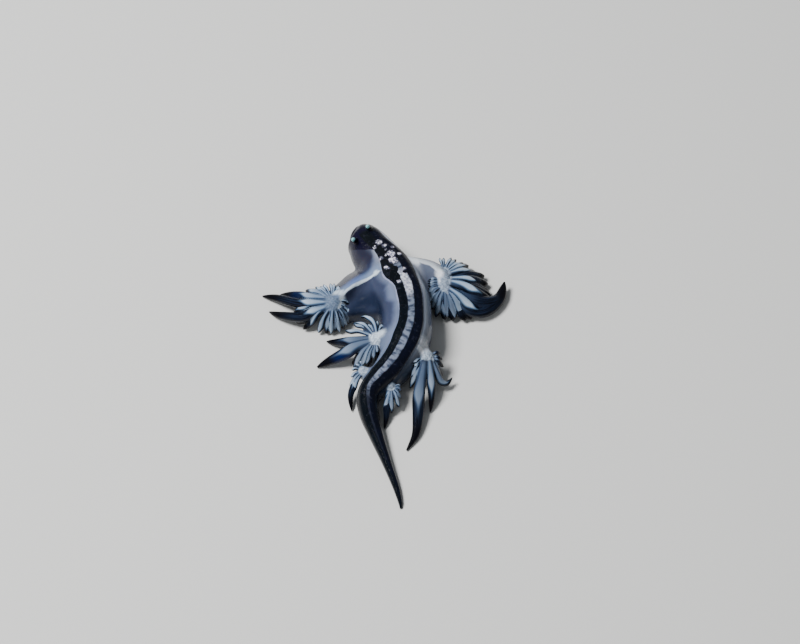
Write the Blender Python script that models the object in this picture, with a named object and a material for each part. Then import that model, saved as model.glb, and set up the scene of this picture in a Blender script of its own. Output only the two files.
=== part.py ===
"""A blue dragon sea slug, life size, lying on its back as a museum would show it.

The foot is up, the head points away along +Y, and left and right are as seen from above.
Everything is shaped in millimetres on a floor at z = 0, and the last step scales it to metres.
"""

import math
import random
from collections import namedtuple

import bmesh
import bpy
from mathutils import Matrix, Vector

MM = 0.001
GAP = 0.3
SEED = 7

FOOT_THICKNESS = 0.5
FOOT_RISE = 0.05
ROUNDNESS = 2.3
WIDEST_HEIGHT = 0.44
SIDE_POINTS = 9
CHANNEL_SHARE = 0.93
BODY_STEP = 0.5
CERAS_STEP = 0.45
CERAS_HALF_RING = 1

# The body from the nose to the tip of the tail. x and y follow its middle line, left and right are
# the half-widths to each side of that, foot is the half-width of the sole, and shift is how far the
# sole's middle lies to the right.
Section = namedtuple("Section", "x y top bottom left right foot shift")
BODY = [
    Section(-2.28, 12.13, 2.95, 1.10, 0.85, 0.80, 0.85, 0.30),
    Section(-2.00, 11.94, 3.32, 0.75, 1.28, 1.22, 0.85, 0.30),
    Section(-1.58, 11.40, 3.55, 0.55, 1.52, 1.56, 0.85, 0.30),
    Section(-1.00, 10.57, 3.65, 0.22, 1.80, 1.75, 0.86, 0.30),
    Section(-0.35, 9.81, 3.72, 0.00, 1.95, 1.72, 0.90, 0.30),
    Section(0.29, 8.74, 3.80, 0.00, 2.10, 1.90, 1.00, 0.30),
    Section(0.93, 7.56, 3.80, 0.00, 2.40, 1.95, 1.03, 0.28),
    Section(1.56, 6.38, 3.80, 0.00, 2.50, 1.80, 0.98, 0.20),
    Section(1.96, 5.21, 3.80, 0.00, 2.50, 1.72, 0.93, 0.12),
    Section(2.11, 3.96, 3.80, 0.00, 2.40, 1.65, 0.90, 0.05),
    Section(2.10, 2.52, 3.75, 0.00, 2.25, 1.65, 0.92, 0.00),
    Section(1.79, 1.24, 3.60, 0.00, 2.05, 1.50, 0.94, 0.00),
    Section(1.25, 0.22, 3.30, 0.00, 1.75, 1.35, 0.90, 0.00),
    Section(0.47, -0.79, 3.00, 0.00, 1.40, 1.20, 0.90, -0.02),
    Section(-0.38, -1.64, 2.60, 0.00, 1.15, 1.00, 0.90, -0.05),
    Section(-1.05, -2.49, 2.20, 0.00, 1.00, 0.85, 0.82, -0.05),
    Section(-1.22, -3.40, 1.90, 0.00, 0.88, 0.80, 0.75, 0.00),
    Section(-1.10, -4.40, 1.60, 0.00, 0.74, 0.76, 0.66, 0.00),
    Section(-0.74, -5.51, 1.20, 0.00, 0.62, 0.62, 0.55, 0.00),
    Section(-0.33, -6.74, 1.00, 0.00, 0.50, 0.50, 0.45, 0.00),
    Section(0.10, -7.96, 0.82, 0.00, 0.40, 0.40, 0.35, 0.00),
    Section(0.53, -9.21, 0.66, 0.00, 0.32, 0.32, 0.28, 0.00),
    Section(0.94, -10.45, 0.52, 0.00, 0.26, 0.26, 0.22, 0.00),
    Section(1.25, -11.67, 0.36, 0.00, 0.17, 0.17, 0.15, 0.00),
    Section(1.32, -12.28, 0.18, 0.00, 0.08, 0.08, 0.10, 0.00),
]
NOSE_LENGTH = 0.35
HEAD_END = 3.0
FOOT_END = 16.75
TAIL_START = 17.0
# Each length of the body runs from the row before its own row number to that number.
BODY_LENGTHS = [
    ("head", 0.0, HEAD_END),
    ("neck", HEAD_END, 5.0),
    ("trunk_front", 5.0, 8.0),
    ("trunk_middle", 8.0, 11.0),
    ("trunk_rear", 11.0, 14.0),
    ("tail_base", 14.0, TAIL_START),
    ("tail_middle", TAIL_START, 20.5),
    ("tail_tip", 20.5, 24.0),
]
FOOT_LENGTHS = [
    ("foot_front", HEAD_END, 7.5),
    ("foot_middle", 7.5, 12.0),
    ("foot_rear", 12.0, FOOT_END),
]

# An arm from inside the trunk to inside its pad. front and back are how far it reaches to each side
# of its middle line, crest is how far in front of that line its ridge runs, and the web behind the
# ridge dips to hollow.
ArmSection = namedtuple("ArmSection", "x y front back crest crest_z hollow edge")
ARMS = {
    "arm_front_left": [
        ArmSection(0.90, 6.00, 3.20, 2.40, 1.55, 3.30, 3.00, 2.00),
        ArmSection(-0.60, 5.90, 3.75, 1.50, 1.60, 3.05, 2.30, 1.50),
        ArmSection(-1.90, 5.75, 3.70, 0.98, 1.40, 2.85, 1.75, 1.25),
        ArmSection(-3.10, 5.62, 3.05, 0.88, 0.50, 2.62, 1.55, 1.20),
        ArmSection(-4.10, 5.58, 2.10, 0.80, 0.10, 2.40, 1.60, 1.20),
    ],
    "arm_front_right": [
        ArmSection(1.50, 8.00, 2.10, 2.60, 0.95, 3.30, 2.90, 2.20),
        ArmSection(2.90, 8.00, 2.15, 2.30, 0.80, 2.80, 2.00, 1.85),
        ArmSection(3.90, 7.95, 1.95, 1.90, 0.50, 2.50, 1.60, 1.75),
        ArmSection(4.90, 7.90, 1.50, 1.40, 0.20, 2.30, 1.55, 1.50),
    ],
}

# A fan of cerata, the finger-like outgrowths, on the pad at the end of an arm. stalk holds points
# with a radius, from inside the trunk to inside the pad. A row of short cerata is spread evenly
# along its keys, each an angle in plan, a reach from the middle of the pad, a height of the tip and
# a radius. A long one has its own points and its greatest radius.
Fan = namedtuple("Fan", "centre radii stalk rows longs")
Row = namedtuple("Row", "count keys")
Long = namedtuple("Long", "radius points")
FRONT_LEFT = Fan(
    (-4.05, 5.58, 1.45),
    (0.88, 1.00, 0.95),
    [],
    [
        Row(5, [(68, 1.5, 2.0, 0.25), (90, 1.75, 2.0, 0.25), (112, 1.95, 1.8, 0.25), (132, 2.6, 1.3, 0.27)]),
        Row(3, [(145, 3.1, 0.9, 0.30), (170, 3.3, 0.9, 0.34), (200, 3.2, 0.6, 0.34)]),
        Row(7, [(218, 2.9, 0.4, 0.30), (245, 2.5, 0.3, 0.27), (275, 2.2, 0.3, 0.25), (330, 1.6, 1.0, 0.25)]),
    ],
    [
        Long(
            0.40,
            [(-4.4, 5.9, 1.9), (-5.9, 6.3, 1.6), (-6.8, 6.8, 1.1), (-7.6, 7.1, 0.8), (-8.4, 7.4, 0.4)],
        ),
        Long(
            0.46,
            [(-4.4, 5.5, 1.9), (-5.9, 5.6, 1.7), (-6.9, 6.0, 1.2), (-8.7, 7.0, 0.5), (-9.86, 7.45, 0.12)],
        ),
        Long(
            0.46,
            [(-4.4, 5.2, 1.8), (-5.7, 4.9, 1.5), (-6.6, 4.7, 1.1), (-8.3, 5.3, 0.5), (-9.25, 5.9, 0.12)],
        ),
    ],
)
FRONT_RIGHT = Fan(
    (4.75, 7.85, 1.40),
    (0.70, 1.40, 0.95),
    [],
    [
        Row(5, [(94, 2.0, 2.0, 0.25), (78, 2.35, 1.7, 0.25), (63, 2.75, 1.2, 0.25), (48, 3.0, 0.8, 0.27)]),
        Row(4, [(36, 3.2, 0.6, 0.30), (18, 3.4, 0.5, 0.36), (-8, 3.7, 0.5, 0.40)]),
        Row(6, [(-56, 3.8, 0.3, 0.32), (-74, 3.6, 0.3, 0.30), (-92, 3.2, 0.3, 0.26), (-114, 2.6, 0.8, 0.25)]),
        Row(6, [(-128, 2.0, 1.5, 0.25), (-158, 1.5, 1.8, 0.25), (-190, 1.35, 2.0, 0.25)]),
    ],
    [
        Long(
            0.46,
            [(4.9, 7.6, 2.0), (6.2, 7.4, 1.7), (7.2, 7.1, 1.2), (8.0, 6.9, 0.8), (8.9, 6.7, 0.5)],
        ),
        Long(
            0.42,
            [(4.9, 7.0, 2.0), (6.0, 6.3, 1.7), (6.7, 5.9, 1.2), (7.4, 5.8, 0.9), (8.3, 6.1, 0.6)],
        ),
        Long(
            0.54,
            [
                (4.9, 6.7, 1.7),
                (6.0, 5.9, 1.2),
                (6.8, 5.5, 0.8),
                (7.7, 5.5, 0.6),
                (8.5, 6.0, 0.5),
                (9.2, 6.9, 0.5),
                (9.5, 7.7, 0.6),
                (9.67, 8.4, 0.8),
            ],
        ),
    ],
)
MIDDLE_LEFT = Fan(
    (-0.65, 1.93, 1.55),
    (0.62, 0.75, 1.05),
    [(0.9, 2.1, 2.1, 0.9), (-0.5, 1.95, 1.8, 0.75)],
    [
        Row(3, [(112, 1.6, 2.0, 0.25), (128, 2.4, 1.6, 0.25), (150, 3.0, 1.0, 0.25)]),
        Row(5, [(222, 2.4, 0.3, 0.28), (236, 2.1, 0.6, 0.25), (250, 1.7, 1.0, 0.25), (275, 1.1, 1.8, 0.25)]),
    ],
    [
        Long(
            0.26,
            [(-0.6, 2.1, 2.4), (-0.75, 2.9, 2.5), (-1.03, 3.5, 2.4), (-1.47, 4.05, 2.0), (-1.9, 4.35, 1.6)],
        ),
        Long(
            0.26,
            [(-0.8, 2.1, 2.3), (-1.27, 2.75, 2.3), (-1.6, 3.25, 2.1), (-2.0, 3.6, 1.8), (-2.5, 3.95, 1.3)],
        ),
        Long(
            0.54,
            [(-0.8, 1.7, 2.1), (-2.1, 1.45, 1.7), (-3.0, 1.25, 1.1), (-4.3, 0.9, 0.5), (-5.3, 0.55, 0.12)],
        ),
        Long(
            0.42,
            [(-0.8, 2.1, 1.9), (-2.1, 2.25, 1.4), (-3.0, 2.45, 0.9), (-3.9, 2.75, 0.4), (-4.6, 3.0, 0.15)],
        ),
    ],
)
MIDDLE_RIGHT = Fan(
    (3.27, 0.40, 1.45),
    (0.75, 0.68, 1.00),
    [(2.0, 1.2, 2.0, 0.8), (3.2, 0.6, 1.6, 0.7)],
    [
        Row(4, [(222, 1.3, 2.3, 0.25), (232, 1.7, 1.8, 0.25), (240, 2.5, 0.6, 0.26)]),
        Row(4, [(-50, 2.0, 0.4, 0.25), (-30, 1.6, 0.8, 0.25), (-5, 1.4, 1.3, 0.25), (25, 1.2, 1.7, 0.25)]),
    ],
    [
        Long(
            0.50,
            [
                (3.2, 0.1, 2.1),
                (2.9, -1.6, 1.6),
                (2.7, -2.8, 1.1),
                (2.65, -4.2, 0.7),
                (2.45, -5.8, 0.3),
                (1.75, -7.15, 0.12),
            ],
        ),
        Long(0.33, [(3.5, 0.1, 2.1), (3.65, -1.4, 1.5), (3.7, -2.6, 0.8), (3.6, -3.7, 0.12)]),
        Long(
            0.30,
            [(3.7, 0.1, 1.9), (4.1, -0.8, 1.4), (4.4, -1.25, 0.9), (4.9, -1.3, 0.6), (5.35, -0.8, 0.7)],
        ),
    ],
)
REAR_LEFT = Fan(
    (-1.60, -0.75, 1.25),
    (0.48, 0.50, 0.75),
    [(-0.1, -0.9, 1.4, 0.5), (-1.5, -0.8, 1.3, 0.45)],
    [Row(5, [(110, 0.8, 1.9, 0.25), (160, 0.9, 1.6, 0.25), (205, 1.2, 1.1, 0.25), (240, 1.8, 0.6, 0.25)])],
    [Long(0.28, [(-1.8, -1.0, 1.6), (-2.3, -1.7, 1.1), (-2.6, -2.5, 0.6), (-2.5, -3.6, 0.12)])],
)
REAR_RIGHT = Fan(
    (0.55, -2.20, 1.15),
    (0.45, 0.42, 0.70),
    [(-0.4, -1.9, 1.3, 0.5), (0.5, -2.2, 1.2, 0.42)],
    [Row(5, [(10, 0.8, 1.5, 0.25), (-35, 1.0, 1.1, 0.25), (-70, 1.6, 0.5, 0.25), (-106, 1.9, 0.4, 0.25)])],
    [Long(0.28, [(0.4, -2.4, 1.5), (0.25, -3.4, 0.9), (0.2, -4.3, 0.4), (0.05, -5.2, 0.12)])],
)
FANS = {
    "cerata_front_left": FRONT_LEFT,
    "cerata_front_right": FRONT_RIGHT,
    "cerata_middle_left": MIDDLE_LEFT,
    "cerata_middle_right": MIDDLE_RIGHT,
    "cerata_rear_left": REAR_LEFT,
    "cerata_rear_right": REAR_RIGHT,
}

# Short cones on the head: where the tip is, which way it points, its length and its base radius.
Feeler = namedtuple("Feeler", "tip direction length radius")
FEELERS = {
    "oral_tentacle_left": Feeler((-2.57, 10.25, 4.04), (-0.30, -0.45, 0.84), 1.7, 0.28),
    "oral_tentacle_right": Feeler((-1.39, 11.43, 4.20), (-0.19, -0.50, 0.85), 1.7, 0.28),
    "rhinophore_left": Feeler((-2.57, 11.06, 0.12), (-0.35, -0.30, -0.89), 1.2, 0.30),
    "rhinophore_right": Feeler((-1.13, 12.44, 0.12), (0.35, 0.30, -0.89), 1.2, 0.30),
}

MOUTH_CENTRE = (-2.38, 12.32, 2.00)
MOUTH_HALF_WIDTH = 0.48
MOUTH_HALF_HEIGHT = 0.22
LIP_RADIUS = 0.17
LIP_POINTS = 12
LIP_SIDES = 8
MOUTH_DEPTH = 0.5
MOUTH_OPENING = 0.09

COLOURS = {
    "skin": (0.16, 0.20, 0.30, 1.0),
    "foot": (0.01, 0.015, 0.06, 1.0),
    "cerata": (0.40, 0.52, 0.62, 1.0),
}


def smooth(table, place):
    """The row at a fractional place, on a smooth curve through all the rows of a table."""
    last = len(table) - 1
    before = min(int(place), last - 1)
    t = place - before
    rows = [table[min(max(k, 0), last)] for k in range(before - 1, before + 3)]
    values = []
    for a, b, c, d in zip(*rows):
        slope = c - a
        bend = 2 * a - 5 * b + 4 * c - d
        twist = 3 * b - a - 3 * c + d
        values.append(0.5 * (2 * b + slope * t + bend * t**2 + twist * t**3))
    return type(table[0])(*values) if hasattr(table[0], "_fields") else tuple(values)


def body_section(place):
    """The body's section at a place, never below the floor."""
    section = smooth(BODY, place)
    return section._replace(bottom=max(section.bottom, 0.0))


def grown_section(place):
    """The body's section at a place, larger by the gap all round."""
    section = body_section(place)
    return section._replace(
        top=section.top + GAP,
        bottom=section.bottom - GAP,
        left=section.left + GAP,
        right=section.right + GAP,
    )


def mix(a, b, share):
    return a + (b - a) * share


def heading(table, place):
    """The unit direction in plan in which the rows advance."""
    step = 0.05
    here = smooth(table, max(place - step, 0.0))
    ahead = smooth(table, min(place + step, len(table) - 1.0))
    return Vector((ahead[0] - here[0], ahead[1] - here[1])).normalized()


def place_after(table, place, distance):
    """The place that lies a distance in plan beyond another."""
    step = 0.01
    travelled = 0.0
    while travelled < distance:
        a = smooth(table, place)
        place += step
        b = smooth(table, place)
        travelled += math.dist(a[:2], b[:2])
    return place


def top_height(section, offset):
    """The height of the upper surface at an offset from the middle of the foot, to the right."""
    half_width = section.right if offset > 0 else section.left
    middle = section.bottom + WIDEST_HEIGHT * (section.top - section.bottom)
    across = min(abs(offset) / half_width, 1.0)
    return middle + (section.top - middle) * (1 - across**ROUNDNESS) ** (1 / ROUNDNESS)


def side_profile(section, half_width, from_offset, points):
    """Offsets and heights down one side, from an offset on top to the middle of the underside."""
    middle = section.bottom + WIDEST_HEIGHT * (section.top - section.bottom)
    power = 2 / ROUNDNESS
    start = math.acos(min(from_offset / half_width, 1.0) ** (1 / power))
    profile = []
    for k in range(points):
        angle = start - (start + math.pi / 2) * k / (points - 1)
        across = half_width * max(math.cos(angle), 0.0) ** power
        rise = math.copysign(abs(math.sin(angle)) ** power, math.sin(angle))
        if rise > 0:
            height = middle + (section.top - middle) * rise
        else:
            height = max(middle + 1.15 * (middle - section.bottom) * rise, section.bottom)
        profile.append((across, height))
    return profile


def channel_half_width(section):
    """Half the width of the channel in which the foot lies."""
    room_left = CHANNEL_SHARE * (section.left + section.shift)
    room_right = CHANNEL_SHARE * (section.right - section.shift)
    return min(section.foot + GAP, room_left, room_right)


def body_profile(section, channel):
    """One closed outline across the body, with or without the channel for the foot."""
    edge = channel_half_width(section)
    right_edge = edge + section.shift if channel else 0.0
    left_edge = edge - section.shift if channel else 0.0
    right = side_profile(section, section.right, right_edge, SIDE_POINTS)
    left = side_profile(section, section.left, left_edge, SIDE_POINTS)
    outline = right + [(-across, height) for across, height in reversed(left[:-1])]
    if not channel:
        return outline[:-1]
    floor = FOOT_THICKNESS + GAP - FOOT_RISE
    for offset in (-left_edge, section.shift, right_edge):
        outline.append((offset, top_height(section, offset) - floor))
    return outline


def foot_profile(section):
    """One closed outline across the sole, a strip that follows the top of the body."""
    half_width = channel_half_width(section) - GAP
    outline = []
    for share, rise in ((1.0, -0.12), (0.8, 0.0), (0.0, 0.05), (-0.8, 0.0), (-1.0, -0.12)):
        offset = section.shift + share * half_width
        outline.append((offset, top_height(section, offset) + FOOT_RISE + rise))
    for share in (-1.0, 0.0, 1.0):
        offset = section.shift + share * half_width
        outline.append((offset, top_height(section, offset) + FOOT_RISE - FOOT_THICKNESS))
    return outline


def stand(outline, centre, direction):
    """Stands an outline upright across a direction, with its positive offsets on the right."""
    right = Vector((direction.y, -direction.x))
    return [Vector((centre[0] + right.x * a, centre[1] + right.y * a, z)) for a, z in outline]


def loft(name, rings):
    """A closed mesh object through rings of equally many points."""
    mesh = bmesh.new()
    loops = [[mesh.verts.new(point) for point in ring] for ring in rings]
    count = len(rings[0])
    for one, two in zip(loops, loops[1:]):
        for k in range(count):
            mesh.faces.new((one[k], one[(k + 1) % count], two[(k + 1) % count], two[k]))
    mesh.faces.new(loops[0])
    mesh.faces.new(loops[-1])
    return mesh_object(name, mesh)


def mesh_object(name, mesh):
    """Links a mesh as a new object with its faces turned outwards."""
    bmesh.ops.remove_doubles(mesh, verts=mesh.verts, dist=1e-4)
    bmesh.ops.recalc_face_normals(mesh, faces=mesh.faces)
    data = bpy.data.meshes.new(name)
    mesh.to_mesh(data)
    mesh.free()
    obj = bpy.data.objects.new(name, data)
    cutters().objects.link(obj)
    return obj


def tube(name, points, radii):
    """A closed round tube through points, made from a curve with filled ends."""
    curve = bpy.data.curves.new(name, "CURVE")
    curve.dimensions = "3D"
    curve.bevel_depth = 1.0
    curve.bevel_resolution = CERAS_HALF_RING
    curve.use_fill_caps = True
    spline = curve.splines.new("POLY")
    spline.points.add(len(points) - 1)
    for target, point, radius in zip(spline.points, points, radii):
        target.co = (*point, 1.0)
        target.radius = radius
    holder = bpy.data.objects.new(name, curve)
    cutters().objects.link(holder)
    graph = bpy.context.evaluated_depsgraph_get()
    mesh = bmesh.new()
    mesh.from_mesh(bpy.data.meshes.new_from_object(holder.evaluated_get(graph)))
    bpy.data.objects.remove(holder)
    return mesh_object(name, mesh)


def ellipsoid(name, centre, radii):
    """A ball stretched to three radii."""
    mesh = bmesh.new()
    bmesh.ops.create_uvsphere(mesh, u_segments=18, v_segments=12, radius=1.0)
    placed = Matrix.LocRotScale(Vector(centre), None, Vector(radii))
    bmesh.ops.transform(mesh, matrix=placed, verts=mesh.verts)
    return mesh_object(name, mesh)


def collection(name, hidden):
    """The collection of this name, made when it is first asked for."""
    found = bpy.data.collections.get(name)
    if found is None:
        found = bpy.data.collections.new(name)
        bpy.context.scene.collection.children.link(found)
        found.hide_render = hidden
    return found


def cutters():
    """The collection of objects that only shape others."""
    return collection("cutters", True)


def combine(target, others, operation, solver="EXACT"):
    """Joins other objects to a target or cuts them from it in one Boolean, and removes them."""
    group = bpy.data.collections.new("operands")
    bpy.context.scene.collection.children.link(group)
    for other in others:
        group.objects.link(other)
    modifier = target.modifiers.new("combine", "BOOLEAN")
    modifier.operation = operation
    modifier.operand_type = "COLLECTION"
    modifier.collection = group
    modifier.solver = solver
    graph = bpy.context.evaluated_depsgraph_get()
    result = bpy.data.meshes.new_from_object(target.evaluated_get(graph))
    target.modifiers.clear()
    target.data = result
    for other in others:
        bpy.data.objects.remove(other)
    bpy.data.collections.remove(group)
    keep_largest(target)
    return target


def keep_largest(obj):
    """Removes every loose surface but the one with the greatest area."""
    mesh = bmesh.new()
    mesh.from_mesh(obj.data)
    bmesh.ops.remove_doubles(mesh, verts=mesh.verts, dist=2e-3)
    waiting = set(mesh.faces)
    surfaces = []
    while waiting:
        surface = [waiting.pop()]
        for face in surface:
            for edge in face.edges:
                found = waiting.intersection(edge.link_faces)
                waiting -= found
                surface.extend(found)
        surfaces.append(surface)
    surfaces.sort(key=lambda faces: sum(face.calc_area() for face in faces))
    for surface in surfaces[:-1]:
        bmesh.ops.delete(mesh, geom=surface, context="FACES")
    mesh.to_mesh(obj.data)
    mesh.free()


def places_between(start, end):
    """Evenly spread places from one to another, close enough to follow the body."""
    count = max(round((end - start) / BODY_STEP), 1)
    return [start + (end - start) * k / count for k in range(count + 1)]


def nose_rings(section, length):
    """Ever larger copies of the first section, which round off the nose."""
    ahead = -heading(BODY, 0.0)
    middle = mix(section.bottom, section.top, 0.5)
    rings = []
    for angle in (75, 50, 25):
        shrink = math.cos(math.radians(angle))
        centre = Vector(section[:2]) + ahead * (length * math.sin(math.radians(angle)))
        outline = [(a * shrink, mix(middle, height, shrink)) for a, height in body_profile(section, False)]
        rings.append(stand(outline, centre, ahead))
    return rings


def body_length(name, start, end):
    """One length of the body, a gap short of the length in front of it."""
    first = place_after(BODY, start, GAP) if start > 0 else start
    channel = HEAD_END <= start < TAIL_START
    rings = nose_rings(body_section(0.0), NOSE_LENGTH) if start == 0 else []
    for place in places_between(first, end):
        section = body_section(place)
        rings.append(stand(body_profile(section, channel), section[:2], -heading(BODY, place)))
    return loft(name, rings)


def foot_length(name, start, end):
    """One length of the sole, a gap short of the length in front of it."""
    first = place_after(BODY, start, GAP)
    rings = []
    for place in places_between(first, end):
        section = body_section(place)
        rings.append(stand(foot_profile(section), section[:2], -heading(BODY, place)))
    return loft(name, rings)


def body_clearance(name):
    """The whole body without its channel, grown by the gap, for cutting what stands beside it."""
    rings = nose_rings(grown_section(0.0), NOSE_LENGTH + GAP)
    for place in places_between(0.0, len(BODY) - 1.0):
        grown = grown_section(place)
        rings.append(stand(body_profile(grown, False), grown[:2], -heading(BODY, place)))
    return loft(name, rings)


def arm_profile(section):
    """One closed outline across an arm: a ridge near its front edge and a hollow web behind it."""
    front, back, crest = section.front, -section.back, section.crest
    top, hollow, edge = section.crest_z, section.hollow, section.edge
    return [
        (front * 0.85, 0.0),
        (front * 0.98, edge * 0.35),
        (front, edge * 0.7),
        (front * 0.93, edge),
        (mix(front, crest, 0.6), mix(edge, top, 0.7)),
        (crest, top),
        (mix(crest, back, 0.2), mix(top, hollow, 0.5)),
        (mix(crest, back, 0.45), hollow),
        (mix(crest, back, 0.75), hollow),
        (back * 0.93, hollow * 0.9),
        (back, hollow * 0.5),
        (back * 0.85, 0.0),
        (mix(back, front, 0.5), 0.0),
    ]


def arm(name, clearances):
    """An arm from the trunk to its pad, cut clear of both."""
    table = ARMS[name]
    side = 1 if name.endswith("right") else -1
    rings = []
    for place in places_between(0.0, len(table) - 1.0):
        section = smooth(table, place)
        outline = [(-side * offset, height) for offset, height in arm_profile(section)]
        rings.append(stand(outline, section[:2], heading(table, place)))
    return combine(loft(name, rings), clearances, "DIFFERENCE")


def ceras_radius(share, greatest):
    """The radius along a ceras, narrow where it grows, widest two fifths out, then tapering."""
    shares = [(0.0, 0.72), (0.2, 0.9), (0.4, 1.0), (0.6, 0.88), (0.8, 0.6), (1.0, 0.22)]
    for (a, low), (b, high) in zip(shares, shares[1:]):
        if share <= b:
            return greatest * mix(low, high, (share - a) / (b - a))
    return greatest * shares[-1][1]


def ceras(points, greatest, extra):
    """One ceras along smoothed points, kept on the floor, with extra radius where asked."""
    length = sum(math.dist(a, b) for a, b in zip(points, points[1:]))
    steps = max(round(length / CERAS_STEP), 4)
    centres = []
    radii = []
    for k in range(steps + 1):
        share = k / steps
        point = Vector(smooth(points, share * (len(points) - 1)))
        radius = ceras_radius(share, greatest)
        point.z = max(point.z, radius)
        centres.append(point)
        radii.append(radius + extra)
    return tube("ceras", centres, radii)


def short_points(fan, angle, reach, tip_height, lowered):
    """Points of a short ceras that leaves its pad level and droops to its tip."""
    away = Vector((math.cos(angle), math.sin(angle), 0.0))
    centre = Vector(fan.centre)
    root = centre + Vector((away.x * fan.radii[0], away.y * fan.radii[1], 0.0)) * 0.45
    root.z = centre.z + fan.radii[2] * (0.45 - lowered)
    tip = centre + away * reach
    tip.z = tip_height
    bend = root.lerp(tip, 0.45)
    bend.z = mix(root.z, tip.z, 0.3) + 0.12
    late = root.lerp(tip, 0.78)
    late.z = mix(root.z, tip.z, 0.75)
    return [tuple(root), tuple(bend), tuple(late), tuple(tip)]


def fan_pieces(name, extra):
    """The pad, the stalk and all the cerata of one fan as separate closed objects."""
    fan = FANS[name]
    chance = random.Random(SEED)
    pieces = [ellipsoid(name, fan.centre, [radius + extra for radius in fan.radii])]
    if fan.stalk:
        centres = [point[:3] for point in fan.stalk]
        pieces.append(tube("stalk", centres, [point[3] + extra for point in fan.stalk]))
    for row in fan.rows:
        for k in range(row.count):
            angle, reach, height, radius = smooth(row.keys, k / (row.count - 1) * (len(row.keys) - 1))
            angle += chance.uniform(-2.0, 2.0)
            reach *= chance.uniform(0.95, 1.0)
            points = short_points(fan, math.radians(angle), reach, height, 0.3 * (k % 2))
            pieces.append(ceras(points, radius, extra))
    for long in fan.longs:
        pieces.append(ceras(long.points, long.radius, extra))
    return pieces


def fan(name):
    """A fan of cerata as one solid, cut clear of the body."""
    pad, *others = fan_pieces(name, 0.0)
    combine(pad, others, "UNION")
    return combine(pad, [body_clearance("clearance")], "DIFFERENCE")


def feeler(name, head_clearance):
    """A short cone that stands on the head."""
    data = FEELERS[name]
    tip = Vector(data.tip)
    root = tip - Vector(data.direction).normalized() * data.length
    points = [root.lerp(tip, share) for share in (0.0, 0.35, 0.7, 0.92, 1.0)]
    radii = [data.radius * share for share in (1.0, 0.95, 0.85, 0.65, 0.3)]
    return combine(tube(name, points, radii), [head_clearance], "DIFFERENCE")


def mouth_loop():
    """Points around the lips, across the front of the head."""
    centre = Vector(MOUTH_CENTRE)
    ahead = -heading(BODY, 0.3)
    side = Vector((ahead.y, -ahead.x, 0.0))
    points = []
    for k in range(LIP_POINTS):
        angle = 2 * math.pi * k / LIP_POINTS
        across = side * math.cos(angle) * MOUTH_HALF_WIDTH
        points.append(centre + across + Vector((0, 0, math.sin(angle) * MOUTH_HALF_HEIGHT)))
    return points


def lips():
    """A closed ring of lip around the mouth."""
    centres = mouth_loop()
    middle = Vector(MOUTH_CENTRE)
    ahead = Vector((*-heading(BODY, 0.3), 0.0))
    mesh = bmesh.new()
    loops = []
    for centre in centres:
        outwards = (centre - middle).normalized()
        loop = []
        for k in range(LIP_SIDES):
            angle = 2 * math.pi * k / LIP_SIDES
            off = outwards * math.cos(angle) + ahead * math.sin(angle)
            loop.append(mesh.verts.new(centre + off * LIP_RADIUS))
        loops.append(loop)
    for one, two in zip(loops, loops[1:] + loops[:1]):
        for k in range(LIP_SIDES):
            after = (k + 1) % LIP_SIDES
            mesh.faces.new((one[k], one[after], two[after], two[k]))
    return mesh_object("lips", mesh)


def head(obj):
    """Adds the lips to the head and cuts the mouth between them."""
    combine(obj, [lips()], "UNION")
    ahead = Vector((*-heading(BODY, 0.3), 0.0))
    turn = ahead.to_track_quat("Y", "Z").to_matrix().to_4x4()
    mesh = bmesh.new()
    bmesh.ops.create_uvsphere(mesh, u_segments=16, v_segments=8, radius=1.0)
    size = Vector((MOUTH_HALF_WIDTH * 0.85, MOUTH_DEPTH, MOUTH_OPENING))
    bmesh.ops.transform(mesh, matrix=turn @ Matrix.Diagonal(size.to_4d()), verts=mesh.verts)
    place = Vector(MOUTH_CENTRE) + ahead * 0.15
    bmesh.ops.translate(mesh, vec=place, verts=mesh.verts)
    return combine(obj, [mesh_object("mouth", mesh)], "DIFFERENCE", "MANIFOLD")


def material(name):
    """A glossy skin material of one of the named colours."""
    made = bpy.data.materials.new(name)
    made.use_nodes = True
    shader = made.node_tree.nodes["Principled BSDF"]
    shader.inputs["Base Color"].default_value = COLOURS[name]
    shader.inputs["Roughness"].default_value = 0.3
    return made


def finish(obj, slot):
    """Scales a solid to metres, moves it to the model's collection and gives it its material."""
    obj.data.transform(Matrix.Scale(MM, 4))
    cutters().objects.unlink(obj)
    collection("blue_dragon", False).objects.link(obj)
    obj.data.materials.clear()
    obj.data.materials.append(slot)
    bpy.context.view_layer.objects.active = obj
    obj.select_set(True)
    bpy.ops.object.shade_smooth_by_angle(angle=math.radians(50))
    obj.select_set(False)


def main():
    for obj in list(bpy.data.objects):
        bpy.data.objects.remove(obj)
    slots = {name: material(name) for name in COLOURS}
    for name, start, end in BODY_LENGTHS:
        obj = body_length(name, start, end)
        if name == "head":
            head(obj)
        finish(obj, slots["skin"])
    for name, start, end in FOOT_LENGTHS:
        finish(foot_length(name, start, end), slots["foot"])
    for name in ARMS:
        fan_name = name.replace("arm", "cerata")
        clearances = [body_clearance("clearance"), *fan_pieces(fan_name, GAP)]
        finish(arm(name, clearances), slots["skin"])
    for name in FANS:
        finish(fan(name), slots["cerata"])
    for name in FEELERS:
        finish(feeler(name, body_clearance("clearance")), slots["skin"])


main()
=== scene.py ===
"""The look of the blue dragon sea slug: one wet, marked skin over all the solids.

The skin is shaped in millimetres, in the same places as the solids, then scaled to metres. The
animal lies on its back with the foot up, and left and right are as seen from above.
"""

import math
import random
from collections import namedtuple

import bmesh
import bpy
import numpy as np
from mathutils import Matrix, Vector, kdtree

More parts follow.
